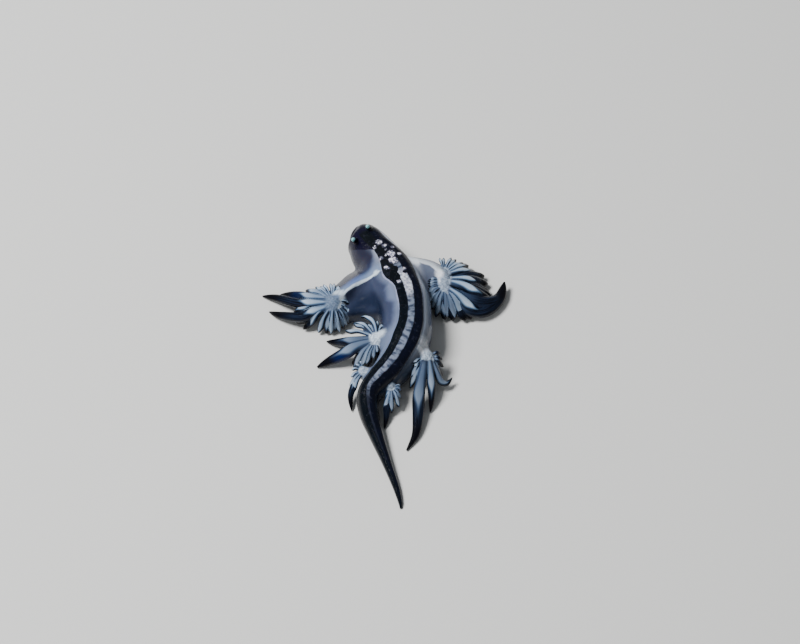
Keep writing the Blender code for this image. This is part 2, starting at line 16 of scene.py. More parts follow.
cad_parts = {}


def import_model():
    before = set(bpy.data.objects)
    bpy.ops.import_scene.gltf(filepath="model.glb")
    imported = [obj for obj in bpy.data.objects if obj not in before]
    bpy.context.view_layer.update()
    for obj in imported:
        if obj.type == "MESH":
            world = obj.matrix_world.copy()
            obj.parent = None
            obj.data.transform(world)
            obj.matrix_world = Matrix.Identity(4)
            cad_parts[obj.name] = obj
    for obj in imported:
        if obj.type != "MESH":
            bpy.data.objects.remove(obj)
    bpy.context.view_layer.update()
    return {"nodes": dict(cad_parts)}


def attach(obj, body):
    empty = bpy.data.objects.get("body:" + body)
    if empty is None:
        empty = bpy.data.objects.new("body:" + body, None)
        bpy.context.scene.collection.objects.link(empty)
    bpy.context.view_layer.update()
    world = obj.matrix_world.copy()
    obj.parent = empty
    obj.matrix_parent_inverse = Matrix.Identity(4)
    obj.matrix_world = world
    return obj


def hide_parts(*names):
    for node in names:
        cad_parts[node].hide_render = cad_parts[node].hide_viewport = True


MM = 0.001
SEED = 11

# The camera of the photograph: it looks along +Y and down, from beyond the tail.
CAMERA_AIM = (1.247, 4.993, 0.0)
CAMERA_ELEVATION = 55.0
CAMERA_DISTANCE = 177.78
CAMERA_LENS = 100.0

# Fineness of the skin, in millimetres.
CORE_VOXEL = 0.09
CORE_SMOOTHING = 50
SKIN_VOXEL = 0.045
SKIN_SMOOTHING = 3

# How square the body's section is, how far up it is widest, and how full it is near the floor.
ROUNDNESS = 2.3
WIDEST_HEIGHT = 0.44
UNDERSIDE_FULLNESS = 1.15

# The body from the nose to the tip of the tail, as in the solids.
# The sole is a band on top: its half-width, half the width of its pale line, and how far the
# band's middle lies to the right.
Section = namedtuple("Section", "x y top bottom left right foot line shift")
BODY = [Section(*row) for row in (
    (-2.28, 12.13, 2.95, 1.10, 0.85, 0.80, 0.85, 0.20, 0.30),
    (-2.00, 11.94, 3.32, 0.75, 1.28, 1.22, 0.85, 0.20, 0.30),
    (-1.58, 11.40, 3.55, 0.55, 1.52, 1.56, 0.85, 0.22, 0.30),
    (-1.00, 10.57, 3.65, 0.22, 1.80, 1.75, 0.83, 0.32, 0.25),
    (-0.35, 9.81, 3.72, 0.00, 1.95, 1.72, 0.85, 0.36, 0.25),
    (0.29, 8.74, 3.80, 0.00, 2.10, 1.90, 1.12, 0.26, 0.37),
    (0.93, 7.56, 3.80, 0.00, 2.40, 1.95, 1.30, 0.30, 0.20),
    (1.56, 6.38, 3.80, 0.00, 2.50, 1.80, 1.02, 0.33, 0.17),
    (1.96, 5.21, 3.80, 0.00, 2.50, 1.72, 0.98, 0.30, 0.05),
    (2.11, 3.96, 3.80, 0.00, 2.40, 1.65, 0.93, 0.25, 0.02),
    (2.10, 2.52, 3.75, 0.00, 2.25, 1.65, 0.97, 0.26, -0.03),
    (1.79, 1.24, 3.60, 0.00, 2.05, 1.50, 1.03, 0.29, -0.09),
    (1.25, 0.22, 3.30, 0.00, 1.75, 1.35, 0.96, 0.29, -0.05),
    (0.47, -0.79, 3.00, 0.00, 1.40, 1.20, 0.93, 0.26, 0.06),
    (-0.38, -1.64, 2.60, 0.00, 1.15, 1.00, 0.90, 0.22, 0.04),
    (-1.05, -2.49, 2.20, 0.00, 1.00, 0.85, 0.82, 0.16, -0.05),
    (-1.22, -3.40, 1.90, 0.00, 0.88, 0.80, 0.75, 0.12, 0.00),
    (-1.10, -4.40, 1.60, 0.00, 0.74, 0.76, 0.66, 0.09, 0.00),
    (-0.74, -5.51, 1.20, 0.00, 0.62, 0.62, 0.55, 0.08, -0.02),
    (-0.33, -6.74, 1.00, 0.00, 0.50, 0.50, 0.45, 0.07, -0.02),
    (0.10, -7.96, 0.82, 0.00, 0.40, 0.40, 0.35, 0.06, 0.00),
    (0.53, -9.21, 0.66, 0.00, 0.32, 0.32, 0.28, 0.05, 0.00),
    (0.94, -10.45, 0.52, 0.00, 0.26, 0.26, 0.22, 0.02, 0.00),
    (1.25, -11.67, 0.36, 0.00, 0.17, 0.17, 0.15, 0.02, 0.00),
    (1.32, -12.28, 0.18, 0.00, 0.08, 0.08, 0.10, 0.02, 0.00),
)]
NOSE_LENGTH = 0.35
# The place along the body where the part that blends with the arms ends.
CORE_END = 17.0
# How far the sole stands up, and how deep the grooves are beside it and beside its pale line.
FOOT_RISE = 0.06
FOOT_GROOVE = 0.04
LINE_GROOVE = 0.03
# The dark cap of the head ends on a slanting plane.
CAP_NORMAL = (0.0, 0.819, 0.574)
CAP_DISTANCE = 9.87
BODY_RING = 88
BODY_STEP = 0.08
BODY_SAMPLES = 1200
ARM_STEPS = 12

# The two broad front arms, as in the solids.
ArmSection = namedtuple("ArmSection", "x y front back crest crest_z hollow edge")
ARM_LEFT = [ArmSection(*row) for row in (
    (0.90, 6.00, 3.20, 2.40, 1.55, 3.30, 3.00, 2.00),
    (-0.60, 5.90, 3.75, 1.50, 1.60, 3.05, 2.30, 1.50),
    (-1.90, 5.75, 3.70, 0.98, 1.40, 2.85, 1.75, 1.25),
    (-3.10, 5.62, 3.05, 0.88, 0.50, 2.62, 1.55, 1.20),
    (-4.10, 5.58, 2.10, 0.80, 0.10, 2.40, 1.60, 1.20),
)]
ARM_RIGHT = [ArmSection(*row) for row in (
    (1.50, 8.00, 2.10, 2.60, 0.95, 3.30, 2.90, 2.20),
    (2.90, 8.00, 2.15, 2.30, 0.80, 2.80, 2.00, 1.85),
    (3.90, 7.95, 1.95, 1.90, 0.50, 2.50, 1.60, 1.75),
    (4.90, 7.90, 1.50, 1.40, 0.20, 2.30, 1.55, 1.50),
)]
# The line along the ridge of each arm in plan, where a pale highlight is painted, with the front of
# the animal on its right.
# The left one counts up to MIDDLE_X, and the right one beyond it.
MIDDLE_X = 0.9
RIDGE_LEFT = [
    (-0.45, 7.38), (-0.67, 7.29), (-1.15, 7.20), (-1.79, 6.98), (-2.35, 6.71),
    (-2.91, 6.30), (-3.31, 5.85), (-3.34, 5.50), (-3.55, 5.00),
]
RIDGE_RIGHT = [
    (4.40, 7.50), (4.29, 8.15), (4.00, 8.50), (3.65, 8.78), (3.00, 8.86), (2.65, 8.92), (2.20, 8.84),
]
# The middle of the hollow behind each arm, with heights, round which shade is painted.
SHADED_HOLLOW_LEFT = [
    (-2.2, 4.9, 1.5), (-1.6, 5.6, 1.8), (-0.9, 5.5, 1.9), (-0.4, 5.1, 2.2), (-0.35, 4.2, 2.3),
]
SHADED_HOLLOW_RIGHT = [(3.1, 7.5, 2.0), (3.8, 7.2, 1.7)]

# Silver speckles with painted glints and dark gaps on the sole behind the head: x, y, radius, strength.
SPOTS = [
    (-0.43, 10.20, 0.26, 0.75),
    (-0.75, 9.66, 0.17, 0.50),
    (-0.03, 9.81, 0.20, 0.65),
    (0.13, 9.40, 0.12, 0.40),
    (0.53, 8.98, 0.28, 1.00),
    (0.69, 8.34, 0.30, 1.00),
    (0.61, 9.76, 0.14, 0.75),
    (1.17, 9.08, 0.15, 1.00),
    (0.13, 8.84, 0.13, 0.55),
    (-0.27, 8.54, 0.17, 0.60),
    (0.15, 7.63, 0.14, 1.00),
    (0.36, 7.55, 0.10, 0.80),
    (1.17, 6.24, 0.15, 1.00),
    (1.57, 7.51, 0.16, 0.60),
]
GAPS = [
    (0.74, 7.40, 0.34, 1.0),
    (0.95, 6.75, 0.30, 1.0),
    (1.62, 7.20, 0.16, 1.0),
    (1.12, 8.55, 0.14, 0.8),
]
# Painted highlights on the front arms and on the rims of the pads.
PAINTED_HIGHLIGHTS = [
    (-3.80, 6.30, 0.35, 0.80),
    (-3.40, 6.10, 0.30, 0.80),
    (-3.30, 5.70, 0.28, 1.00),
    (4.40, 8.15, 0.35, 0.95),
    (2.50, 8.88, 0.35, 1.00),
    (-0.30, 2.15, 0.42, 0.85),
    (-0.50, 2.70, 0.35, 0.80),
    (-0.67, 7.38, 0.22, 0.95),
    (3.15, 0.95, 0.55, 0.52),
    (2.90, 0.50, 0.30, 0.65),
]
HIGHLIGHTS_LOW = 1.3
HIGHLIGHTS_HIGH = 2.0
# Where the skin and the sides of the cerata are vivid blue.
BLUES = [
    (-3.5, 0.6, 0.6, 1.0),
    (-2.9, 0.9, 0.5, 0.8),
    (-6.9, 7.0, 0.6, 0.5),
    (-2.6, 7.5, 0.8, 0.8),
]

# A fan of cerata on the pad at the end of an arm. pad_light is how pale the pad is, and stalk holds
# points with a radius, from inside the trunk to inside the pad. A row spreads its short cerata evenly
# along its keys, each an angle in plan, a reach from the middle of the pad, a height of the tip, a
# radius, how far along the pale stripe ends and how light that is. A row's depth is how far down the
# pad it grows. A long one has its own points, and above 1 its bluntness keeps it thick nearer its tip.
Fan = namedtuple("Fan", "centre radii pad_light stalk rows longs")
Row = namedtuple("Row", "count depth keys")
Long = namedtuple("Long", "radius stripe light points bluntness", defaults=[1.0])
FRONT_LEFT = Fan((-4.05, 5.58, 1.45), (0.85, 0.95, 0.85), 0.05, [], [
    Row(7, 0.0, [
        (66, 1.5, 2.0, 0.14, 0.9, 0.9), (88, 1.75, 2.0, 0.15, 0.9, 0.95),
        (112, 1.95, 1.8, 0.16, 0.9, 0.95), (130, 2.5, 1.4, 0.2, 0.8, 0.8),
    ]),
    Row(4, 0.0, [
        (48, 1.05, 2.1, 0.13, 0.9, 0.9), (15, 1.1, 1.8, 0.13, 0.9, 0.9),
        (-18, 1.2, 1.4, 0.14, 0.9, 0.8),
    ]),
    Row(4, 0.1, [
        (140, 3.0, 1.0, 0.3, 0.7, 0.55), (168, 3.3, 0.9, 0.34, 0.72, 0.75),
        (205, 3.1, 0.6, 0.32, 0.74, 0.6),
    ]),
    Row(6, 0.15, [
        (216, 2.65, 0.4, 0.27, 0.98, 0.6), (245, 2.25, 0.3, 0.24, 1.0, 0.6),
        (275, 1.97, 0.3, 0.22, 1.0, 0.6), (305, 1.8, 0.4, 0.2, 1.0, 0.6),
        (335, 1.5, 1.0, 0.17, 0.92, 0.7),
    ]),
    Row(7, 0.45, [
        (198, 3.2, 0.3, 0.34, 0.35, 0.2), (235, 2.28, 0.25, 0.28, 0.6, 0.2),
        (275, 1.85, 0.25, 0.25, 0.7, 0.2), (318, 1.6, 0.4, 0.22, 0.8, 0.3),
    ]),
], [
    Long(0.4, 0.42, 0.5, [
        (-4.4, 5.9, 1.9), (-5.9, 6.3, 1.6), (-6.8, 6.8, 1.1), (-7.6, 7.1, 0.8), (-8.4, 7.4, 0.4),
    ]),
    Long(0.46, 0.4, 0.7, [
        (-4.4, 5.5, 1.9), (-5.9, 5.6, 1.7), (-6.9, 6.0, 1.2), (-8.7, 7.0, 0.5), (-9.86, 7.45, 0.12),
    ]),
    Long(0.46, 0.36, 0.6, [
        (-4.4, 5.2, 1.8), (-5.7, 4.9, 1.5), (-6.6, 4.7, 1.1), (-8.3, 5.3, 0.5), (-9.25, 5.9, 0.12),
    ]),
])
FRONT_RIGHT = Fan((4.75, 7.85, 1.4), (0.68, 1.5, 0.85), 0.35, [], [
    Row(6, 0.0, [
        (98, 1.95, 2.1, 0.14, 0.9, 0.6), (80, 2.25, 1.8, 0.16, 0.75, 0.7),
        (64, 2.6, 1.3, 0.19, 0.68, 0.9), (46, 2.95, 0.8, 0.25, 0.62, 1.0),
    ]),
    Row(2, 0.05, [(30, 3.2, 0.7, 0.33, 0.6, 1.0), (8, 3.5, 0.7, 0.38, 0.62, 1.0)]),
    Row(7, 0.4, [
        (58, 2.95, 0.5, 0.36, 0.1, 0.0), (34, 3.4, 0.45, 0.44, 0.1, 0.0),
        (10, 3.65, 0.4, 0.48, 0.1, 0.0), (-10, 3.9, 0.4, 0.44, 0.1, 0.0),
    ]),
    Row(6, 0.1, [
        (-60, 3.2, 0.5, 0.32, 0.85, 0.3), (-76, 2.95, 0.5, 0.3, 0.95, 0.15),
        (-92, 2.8, 0.5, 0.26, 1.0, 0.1), (-112, 2.5, 0.8, 0.2, 0.95, 0.2),
        (-124, 2.3, 1.2, 0.16, 0.9, 0.4),
    ]),
    Row(6, 0.45, [
        (-50, 3.65, 0.35, 0.38, 0.3, 0.1), (-70, 3.4, 0.35, 0.36, 0.4, 0.1),
        (-92, 2.95, 0.35, 0.3, 0.75, 0.1), (-118, 2.4, 0.5, 0.22, 0.85, 0.3),
    ]),
    Row(7, 0.0, [
        (-130, 1.85, 1.5, 0.15, 0.9, 0.2), (-155, 1.3, 1.7, 0.14, 0.9, 0.2),
        (-180, 1.1, 1.9, 0.13, 0.9, 0.3),
    ]),
], [
    Long(0.46, 0.55, 1.0, [
        (5.1, 7.6, 1.9), (6.2, 7.4, 1.7), (7.2, 7.1, 1.2), (8.0, 6.9, 0.8), (8.9, 6.7, 0.5),
    ]),
    Long(0.46, 0.66, 0.8, [
        (5.0, 7.0, 1.9), (5.9, 6.4, 1.6), (6.7, 5.8, 1.1), (7.4, 5.5, 0.8), (8.3, 5.8, 0.6),
    ]),
    Long(0.6, 0.1, 0.1, [
        (5.3, 7.2, 1.3), (6.7, 6.6, 1.0), (7.9, 6.3, 0.8),
        (8.8, 6.6, 0.6), (9.3, 7.3, 0.5), (9.52, 8.2, 0.7),
    ]),
    Long(0.54, 0.12, 0.2, [
        (4.9, 6.7, 1.7), (6.0, 5.9, 1.2), (6.8, 5.5, 0.8), (7.7, 5.5, 0.6),
        (8.5, 6.0, 0.5), (9.2, 6.9, 0.5), (9.5, 7.7, 0.6), (9.67, 8.4, 0.8),
    ], 1.5),
])
MIDDLE_LEFT = Fan((-0.65, 1.93, 1.55), (0.62, 0.75, 1.05), 0.85, [
    (0.9, 2.1, 2.1, 0.9), (-0.5, 1.95, 1.8, 0.75),
], [
    Row(3, 0.0, [
        (102, 1.75, 2.3, 0.15, 0.95, 0.7), (86, 1.7, 2.3, 0.16, 0.95, 0.75),
        (70, 1.4, 2.3, 0.15, 0.95, 0.7),
    ]),
    Row(4, 0.0, [
        (112, 1.6, 2.0, 0.14, 0.9, 0.5), (128, 2.4, 1.6, 0.17, 0.9, 0.55),
        (150, 3.0, 1.0, 0.22, 0.85, 0.65),
    ]),
    Row(6, 0.1, [
        (222, 2.4, 0.3, 0.27, 0.8, 0.15), (236, 2.1, 0.6, 0.22, 0.9, 0.3),
        (250, 1.7, 1.0, 0.18, 0.9, 0.35), (275, 1.1, 1.8, 0.15, 0.9, 0.6),
    ]),
    Row(3, 0.5, [
        (215, 2.2, 0.3, 0.3, 0.3, 0.1), (245, 1.7, 0.3, 0.26, 0.3, 0.1),
        (275, 1.2, 0.4, 0.2, 0.3, 0.1),
    ]),
], [
    Long(0.24, 0.9, 0.9, [
        (-0.6, 2.1, 2.4), (-0.75, 2.9, 2.5), (-1.03, 3.5, 2.4), (-1.47, 4.05, 2.0), (-1.9, 4.35, 1.6),
    ]),
    Long(0.2, 0.9, 0.7, [
        (-0.8, 2.1, 2.3), (-1.27, 2.75, 2.3), (-1.6, 3.25, 2.1), (-2.0, 3.6, 1.8), (-2.5, 3.95, 1.3),
    ]),
    Long(0.54, 0.6, 0.2, [
        (-0.8, 1.7, 2.1), (-2.1, 1.45, 1.7), (-3.0, 1.25, 1.1), (-4.3, 0.9, 0.5), (-5.3, 0.55, 0.12),
    ]),
    Long(0.42, 0.55, 0.1, [
        (-0.8, 2.1, 1.9), (-2.1, 2.25, 1.4), (-3.0, 2.45, 0.9), (-3.9, 2.75, 0.4), (-4.6, 3.0, 0.15),
    ]),
])
MIDDLE_RIGHT = Fan((3.27, 0.4, 1.45), (0.75, 0.68, 1.0), 0.6, [
    (2.0, 1.2, 2.0, 0.8), (3.2, 0.6, 1.6, 0.7),
], [
    Row(4, 0.0, [
        (222, 1.3, 2.3, 0.15, 0.95, 1.0), (232, 1.7, 1.8, 0.17, 0.95, 0.9),
        (240, 2.5, 0.6, 0.24, 0.8, 0.5),
    ]),
    Row(5, 0.2, [
        (-50, 2.0, 0.4, 0.2, 0.6, 0.1), (-30, 1.6, 0.8, 0.18, 0.4, 0.1),
        (-5, 1.4, 1.3, 0.17, 0.3, 0.1), (25, 1.2, 1.7, 0.15, 0.3, 0.1),
    ]),
], [
    Long(0.5, 0.55, 0.1, [
        (3.2, 0.1, 2.1), (2.9, -1.6, 1.6), (2.7, -2.8, 1.1),
        (2.65, -4.2, 0.7), (2.45, -5.8, 0.3), (1.75, -7.15, 0.12),
    ]),
    Long(0.33, 0.6, 0.35, [
        (3.5, 0.1, 2.1), (3.65, -1.4, 1.5), (3.7, -2.6, 0.8), (3.6, -3.7, 0.12),
    ]),
    Long(0.3, 0.8, 0.2, [
        (3.7, 0.1, 1.9), (4.1, -0.8, 1.4), (4.4, -1.25, 0.9), (4.9, -1.3, 0.6), (5.35, -0.8, 0.7),
    ]),
])
REAR_LEFT = Fan((-1.6, -0.75, 1.25), (0.48, 0.5, 0.75), 0.5, [
    (-0.1, -0.9, 1.4, 0.5), (-1.5, -0.8, 1.3, 0.45),
], [
    Row(6, 0.1, [
        (110, 0.8, 1.9, 0.14, 0.95, 0.7), (160, 0.9, 1.6, 0.15, 0.95, 0.8),
        (205, 1.2, 1.1, 0.18, 0.9, 0.7), (240, 1.8, 0.6, 0.22, 0.8, 0.4),
    ]),
], [
    Long(0.28, 0.4, 0.5, [
        (-1.8, -1.0, 1.6), (-2.3, -1.7, 1.1), (-2.6, -2.5, 0.6), (-2.5, -3.6, 0.12),
    ]),
])
REAR_RIGHT = Fan((0.55, -2.2, 1.15), (0.45, 0.42, 0.7), 0.4, [
    (-0.4, -1.9, 1.3, 0.5), (0.5, -2.2, 1.2, 0.42),
], [
    Row(6, 0.1, [
        (10, 0.8, 1.5, 0.14, 0.9, 0.4), (-35, 1.0, 1.1, 0.17, 0.9, 0.4),
        (-70, 1.6, 0.5, 0.21, 0.8, 0.5), (-106, 1.9, 0.4, 0.23, 0.8, 0.5),
    ]),
], [
    Long(0.28, 0.25, 0.5, [
        (0.4, -2.4, 1.5), (0.25, -3.4, 0.9), (0.2, -4.3, 0.4), (0.05, -5.2, 0.12),
    ]),
])
FANS = [FRONT_LEFT, FRONT_RIGHT, MIDDLE_LEFT, MIDDLE_RIGHT, REAR_LEFT, REAR_RIGHT]
CERAS_SIDES = 14
CERAS_STEP = 0.12
CERAS_FLATNESS = 0.78
FACE_LEAN = 0.35
NEAR_SAMPLES = 8
SHORT_BLUNTNESS = 1.35
# Where a short one grows, as shares of its pad's radii, and how much lower every second one starts.
ROOT_PLACE = 0.72
ROOT_HEIGHT = 0.62
SECOND_DEPTH = 0.12
# How much the short ones differ: degrees, two ranges of factors and a share of the lightness.
ANGLE_CHANCE = 2.5
REACH_CHANCE = (0.93, 1.03)
RADIUS_CHANCE = (0.92, 1.08)
LIGHT_CHANCE = 0.2

Feeler = namedtuple("Feeler", "tip direction length radius")
ORAL_TENTACLES = [
    Feeler((-2.57, 10.25, 4.04), (-0.30, -0.45, 0.84), 1.7, 0.28),
    Feeler((-1.39, 11.43, 4.20), (-0.19, -0.50, 0.85), 1.7, 0.28),
]
RHINOPHORES = [
    Feeler((-2.57, 11.06, 0.12), (-0.35, -0.30, -0.89), 1.2, 0.30),
    Feeler((-1.13, 12.44, 0.12), (0.35, 0.30, -0.89), 1.2, 0.30),
]

MOUTH_CENTRE = (-2.38, 12.32, 2.00)
MOUTH_HALF_WIDTH = 0.48
MOUTH_HALF_HEIGHT = 0.22
LIP_RADIUS = 0.17
MOUTH_DEPTH = 0.28
MOUTH_OPENING = 0.10


def smooth(table, place):
    """The row at a fractional place, on a smooth curve through all the rows of a table."""
    last = len(table) - 1
    before = min(int(place), last - 1)
    t = place - before
    rows = [table[min(max(k, 0), last)] for k in range(before - 1, before + 3)]
    values = []
    for a, b, c, d in zip(*rows):
        square = 2 * a - 5 * b + 4 * c - d
        cube = 3 * b - a - 3 * c + d
        values.append(0.5 * (2 * b + (c - a) * t + square * t**2 + cube * t**3))
    return type(table[0])(*values) if hasattr(table[0], "_fields") else tuple(values)


def body_section(place):
    """The body's section at a place, never below the floor."""
    section = smooth(BODY, place)
    return section._replace(bottom=max(section.bottom, 0.0))


def heading(table, place):
    """The unit direction in plan in which the rows advance."""
    step = 0.05
    here = smooth(table, max(place - step, 0.0))
    ahead = smooth(table, min(place + step, len(table) - 1.0))
    return Vector((ahead[0] - here[0], ahead[1] - here[1])).normalized()


def mix(a, b, share):
    """The value a share of the way from a to b."""
    return a + (b - a) * share


def body_outline(section, count):
    """One closed outline across the body: offsets to the right and heights."""
    middle = section.bottom + WIDEST_HEIGHT * (section.top - section.bottom)
    power = 2 / ROUNDNESS
    outline = []
    for k in range(count):
        angle = 2 * math.pi * k / count
        half_width = section.right if math.cos(angle) > 0 else section.left
        across = math.copysign(abs(math.cos(angle)) ** power, math.cos(angle)) * half_width
        rise = math.copysign(abs(math.sin(angle)) ** power, math.sin(angle))
        if rise > 0:
            height = middle + (section.top - middle) * rise
        else:
            drop = UNDERSIDE_FULLNESS * (middle - section.bottom) * rise
            height = max(middle + drop, section.bottom)
        outline.append((across, height))
    return outline


def stand(outline, centre, direction):
    """Stands an outline upright across a direction, with its positive offsets on the right."""
    right = (direction.y, -direction.x)
    return [(centre[0] + right[0] * a, centre[1] + right[1] * a, z) for a, z in outline]


def loft(rings):
    """Vertices and faces of a closed surface through rings of equally many points."""
    count = len(rings[0])
    verts = [point for ring in rings for point in ring]
    faces = []
    for ring in range(len(rings) - 1):
        start = ring * count
        for k in range(count):
            after = (k + 1) % count
            faces.append((start + k, start + after, start + count + after, start + count + k))
    for ring in (0, len(rings) - 1):
        verts.append(tuple(sum(values) / count for values in zip(*rings[ring])))
        for k in range(count):
            faces.append((ring * count + k, ring * count + (k + 1) % count, len(verts) - 1))
    return verts, faces


def join_surfaces(name, surfaces):
    """One mesh object of several closed surfaces, each with its faces outwards."""
    verts = []
    faces = []
    for some_verts, some_faces in surfaces:
        start = len(verts)
        verts.extend(some_verts)
        faces.extend(tuple(start + k for k in face) for face in some_faces)
    data = bpy.data.meshes.new(name)
    data.from_pydata(verts, [], faces)
    mesh = bmesh.new()
    mesh.from_mesh(data)
    bmesh.ops.recalc_face_normals(mesh, faces=mesh.faces)
    mesh.to_mesh(data)
    mesh.free()
    obj = bpy.data.objects.new(name, data)
    bpy.context.scene.collection.objects.link(obj)
    return obj


def body_surface(end):
    """The body from a rounded nose to a place along it."""
    rings = []
    nose = body_section(0.0)
    ahead = -heading(BODY, 0.0)
    middle = mix(nose.bottom, nose.top, 0.5)
    for angle in (85, 70, 52, 35, 18):
        shrink = math.cos(math.radians(angle))
        forward = NOSE_LENGTH * math.sin(math.radians(angle))
        outline = [(a * shrink, middle + (z - middle) * shrink) for a, z in body_outline(nose, BODY_RING)]
        centre = (nose.x + ahead.x * forward, nose.y + ahead.y * forward)
        rings.append(stand(outline, centre, ahead))
    count = round(end / BODY_STEP)
    for k in range(count + 1):
        place = end * k / count
        section = body_section(place)
        rings.append(stand(body_outline(section, BODY_RING), section[:2], -heading(BODY, place)))
    return loft(rings)


def arm_outline(section, side):
    """One closed outline across an arm, smoothed: a ridge near its front and a hollow web behind."""
    front, back, crest = section.front, -section.back, section.crest
    top, hollow, edge = section.crest_z, section.hollow, section.edge
    corners = [
        (front * 0.85, 0.0),
        (front * 0.98, edge * 0.35),
        (front, edge * 0.7),
        (front * 0.93, edge),
        (mix(front, crest, 0.6), mix(edge, top, 0.7)),
        (crest, top),
        (mix(crest, back, 0.2), mix(top, hollow, 0.5)),
        (mix(crest, back, 0.45), hollow),
        (mix(crest, back, 0.75), hollow),
        (back * 0.93, hollow * 0.9),
        (back, hollow * 0.5),
        (back * 0.85, 0.0),
        (mix(back, front, 0.5), 0.0),
    ]
    ring = corners[-1:] + corners + corners[:2]
    points = []
    for k in range(len(corners)):
        for share in (0.0, 0.25, 0.5, 0.75):
            offset, height = smooth(ring[k : k + 4], 1.0 + share)
            points.append((-side * offset, max(height, 0.0)))
    return points


def arm_surface(table, side):
    """An arm from inside the trunk to inside its pad."""
    rings = []
    last = len(table) - 1
    count = last * ARM_STEPS
    for k in range(count + 1):
        place = last * k / count
        section = smooth(table, place)
        rings.append(stand(arm_outline(section, side), section[:2], heading(table, place)))
    return loft(rings)


def ellipsoid_surface(centre, radii):
    """A ball stretched to three radii, and cut off at the floor."""
    rings = []
    rows, sides = 20, 36
    for row in range(1, rows):
        tilt = math.pi * row / rows
        height = max(centre[2] + radii[2] * math.cos(tilt), 0.0)
        ring = []
        for k in range(sides):
            angle = 2 * math.pi * k / sides
            x = centre[0] + radii[0] * math.sin(tilt) * math.cos(angle)
            y = centre[1] + radii[1] * math.sin(tilt) * math.sin(angle)
            ring.append((x, y, height))
        rings.append(ring)
    return loft(rings)


def axis_frames(points):
    """The direction, the outward face and the side at each point of an axis."""
    frames = []
    for k in range(len(points)):
        along = (points[min(k + 1, len(points) - 1)] - points[max(k - 1, 0)]).normalized()
        flat = Vector((along.x, along.y, 0.0))
        outwards = Vector((0.0, 0.0, 1.0)) + flat * FACE_LEAN
        outwards = (outwards - along * outwards.dot(along)).normalized()
        frames.append((along, outwards, along.cross(outwards)))
    return frames


def tube_surface(points, radii, sides=24, flatness=1.0):
    """A tube along an axis, flattened from its outer face to its inner face."""
    rings = []
    for point, radius, (_, outwards, side) in zip(points, radii, axis_frames(points)):
        ring = []
        for k in range(sides):
            angle = 2 * math.pi * k / sides
            off = side * math.cos(angle) * radius + outwards * math.sin(angle) * radius * flatness
            ring.append((point.x + off.x, point.y + off.y, max(point.z + off.z, 0.0)))
        rings.append(ring)
    return loft(rings)


Axis = namedtuple("Axis", "points radii stripe light")


def ceras_radius(share, greatest):
    """The radius along a ceras, narrow where it grows, widest near the middle, then tapering."""
    shares = [(0.0, 0.55), (0.2, 0.8), (0.45, 1.0), (0.65, 0.86), (0.82, 0.58), (1.0, 0.14)]
    place = 0
    while place < len(shares) - 2 and share > shares[place + 1][0]:
        place += 1
    low, high = shares[place], shares[place + 1]
    row = smooth(shares, place + (share - low[0]) / (high[0] - low[0]))
    return max(greatest * row[1], 0.05)


def ceras_axis(points, greatest, stripe, light, bluntness):
    """The axis and radii of one ceras along smoothed points, kept on the floor."""
    length = sum(math.dist(a, b) for a, b in zip(points, points[1:]))
    steps = max(round(length / CERAS_STEP), 8)
    centres = []
    radii = []
    for k in range(steps + 1):
        share = k / steps
        point = Vector(smooth(points, share * (len(points) - 1)))
        radius = ceras_radius(share**bluntness, greatest)
        point.z = max(point.z, radius * CERAS_FLATNESS)
        centres.append(point)
        radii.append(radius)
    return Axis(centres, radii, stripe, light)


def short_points(fan, angle, reach, tip_height, depth):
    """Points of a short ceras that leaves the top of its pad level and droops to its tip."""
    away = Vector((math.cos(angle), math.sin(angle), 0.0))
    centre = Vector(fan.centre)
    root = centre + Vector((away.x * fan.radii[0], away.y * fan.radii[1], 0.0)) * ROOT_PLACE
    root.z = centre.z + fan.radii[2] * (ROOT_HEIGHT - depth)
    tip = centre + away * reach
    tip.z = tip_height
    bend = root.lerp(tip, 0.45)
    bend.z = mix(root.z, tip.z, 0.3) + 0.12
    late = root.lerp(tip, 0.78)
    late.z = mix(root.z, tip.z, 0.75)
    return [tuple(root), tuple(bend), tuple(late), tuple(tip)]


def all_cerata():
    """The axes of every ceras of every fan."""
    chance = random.Random(SEED)
    axes = []
    for fan in FANS:
        for row in fan.rows:
            for k in range(row.count):
                place = k / (row.count - 1) * (len(row.keys) - 1)
                angle, reach, height, radius, stripe, light = smooth(row.keys, place)
                angle += chance.uniform(-ANGLE_CHANCE, ANGLE_CHANCE)
                reach *= chance.uniform(*REACH_CHANCE)
                radius *= chance.uniform(*RADIUS_CHANCE)
                depth = row.depth + SECOND_DEPTH * (k % 2)
                points = short_points(fan, math.radians(angle), reach, height, depth)
                light = min(max(light + chance.uniform(-LIGHT_CHANCE, LIGHT_CHANCE), 0.0), 1.0)
                axes.append(ceras_axis(points, radius, stripe, light, SHORT_BLUNTNESS))
        for long in fan.longs:
            axes.append(ceras_axis(long.points, long.radius, long.stripe, long.light, long.bluntness))
    return axes


def feeler_surface(feeler):
    """A short blunt cone that grows out of the head."""
    tip = Vector(feeler.tip)
    root = tip - Vector(feeler.direction).normalized() * feeler.length
    points = [root.lerp(tip, share) for share in (0.0, 0.3, 0.6, 0.8, 0.93, 1.0)]
    radii = [feeler.radius * share for share in (1.0, 0.97, 0.85, 0.7, 0.45, 0.15)]
    return tube_surface(points, radii)


def mouth_axes():
    """The mouth's centre and the directions ahead of it and along its width."""
    ahead = Vector((*-heading(BODY, 0.3), 0.0))
    return Vector(MOUTH_CENTRE), ahead, Vector((ahead.y, -ahead.x, 0.0))


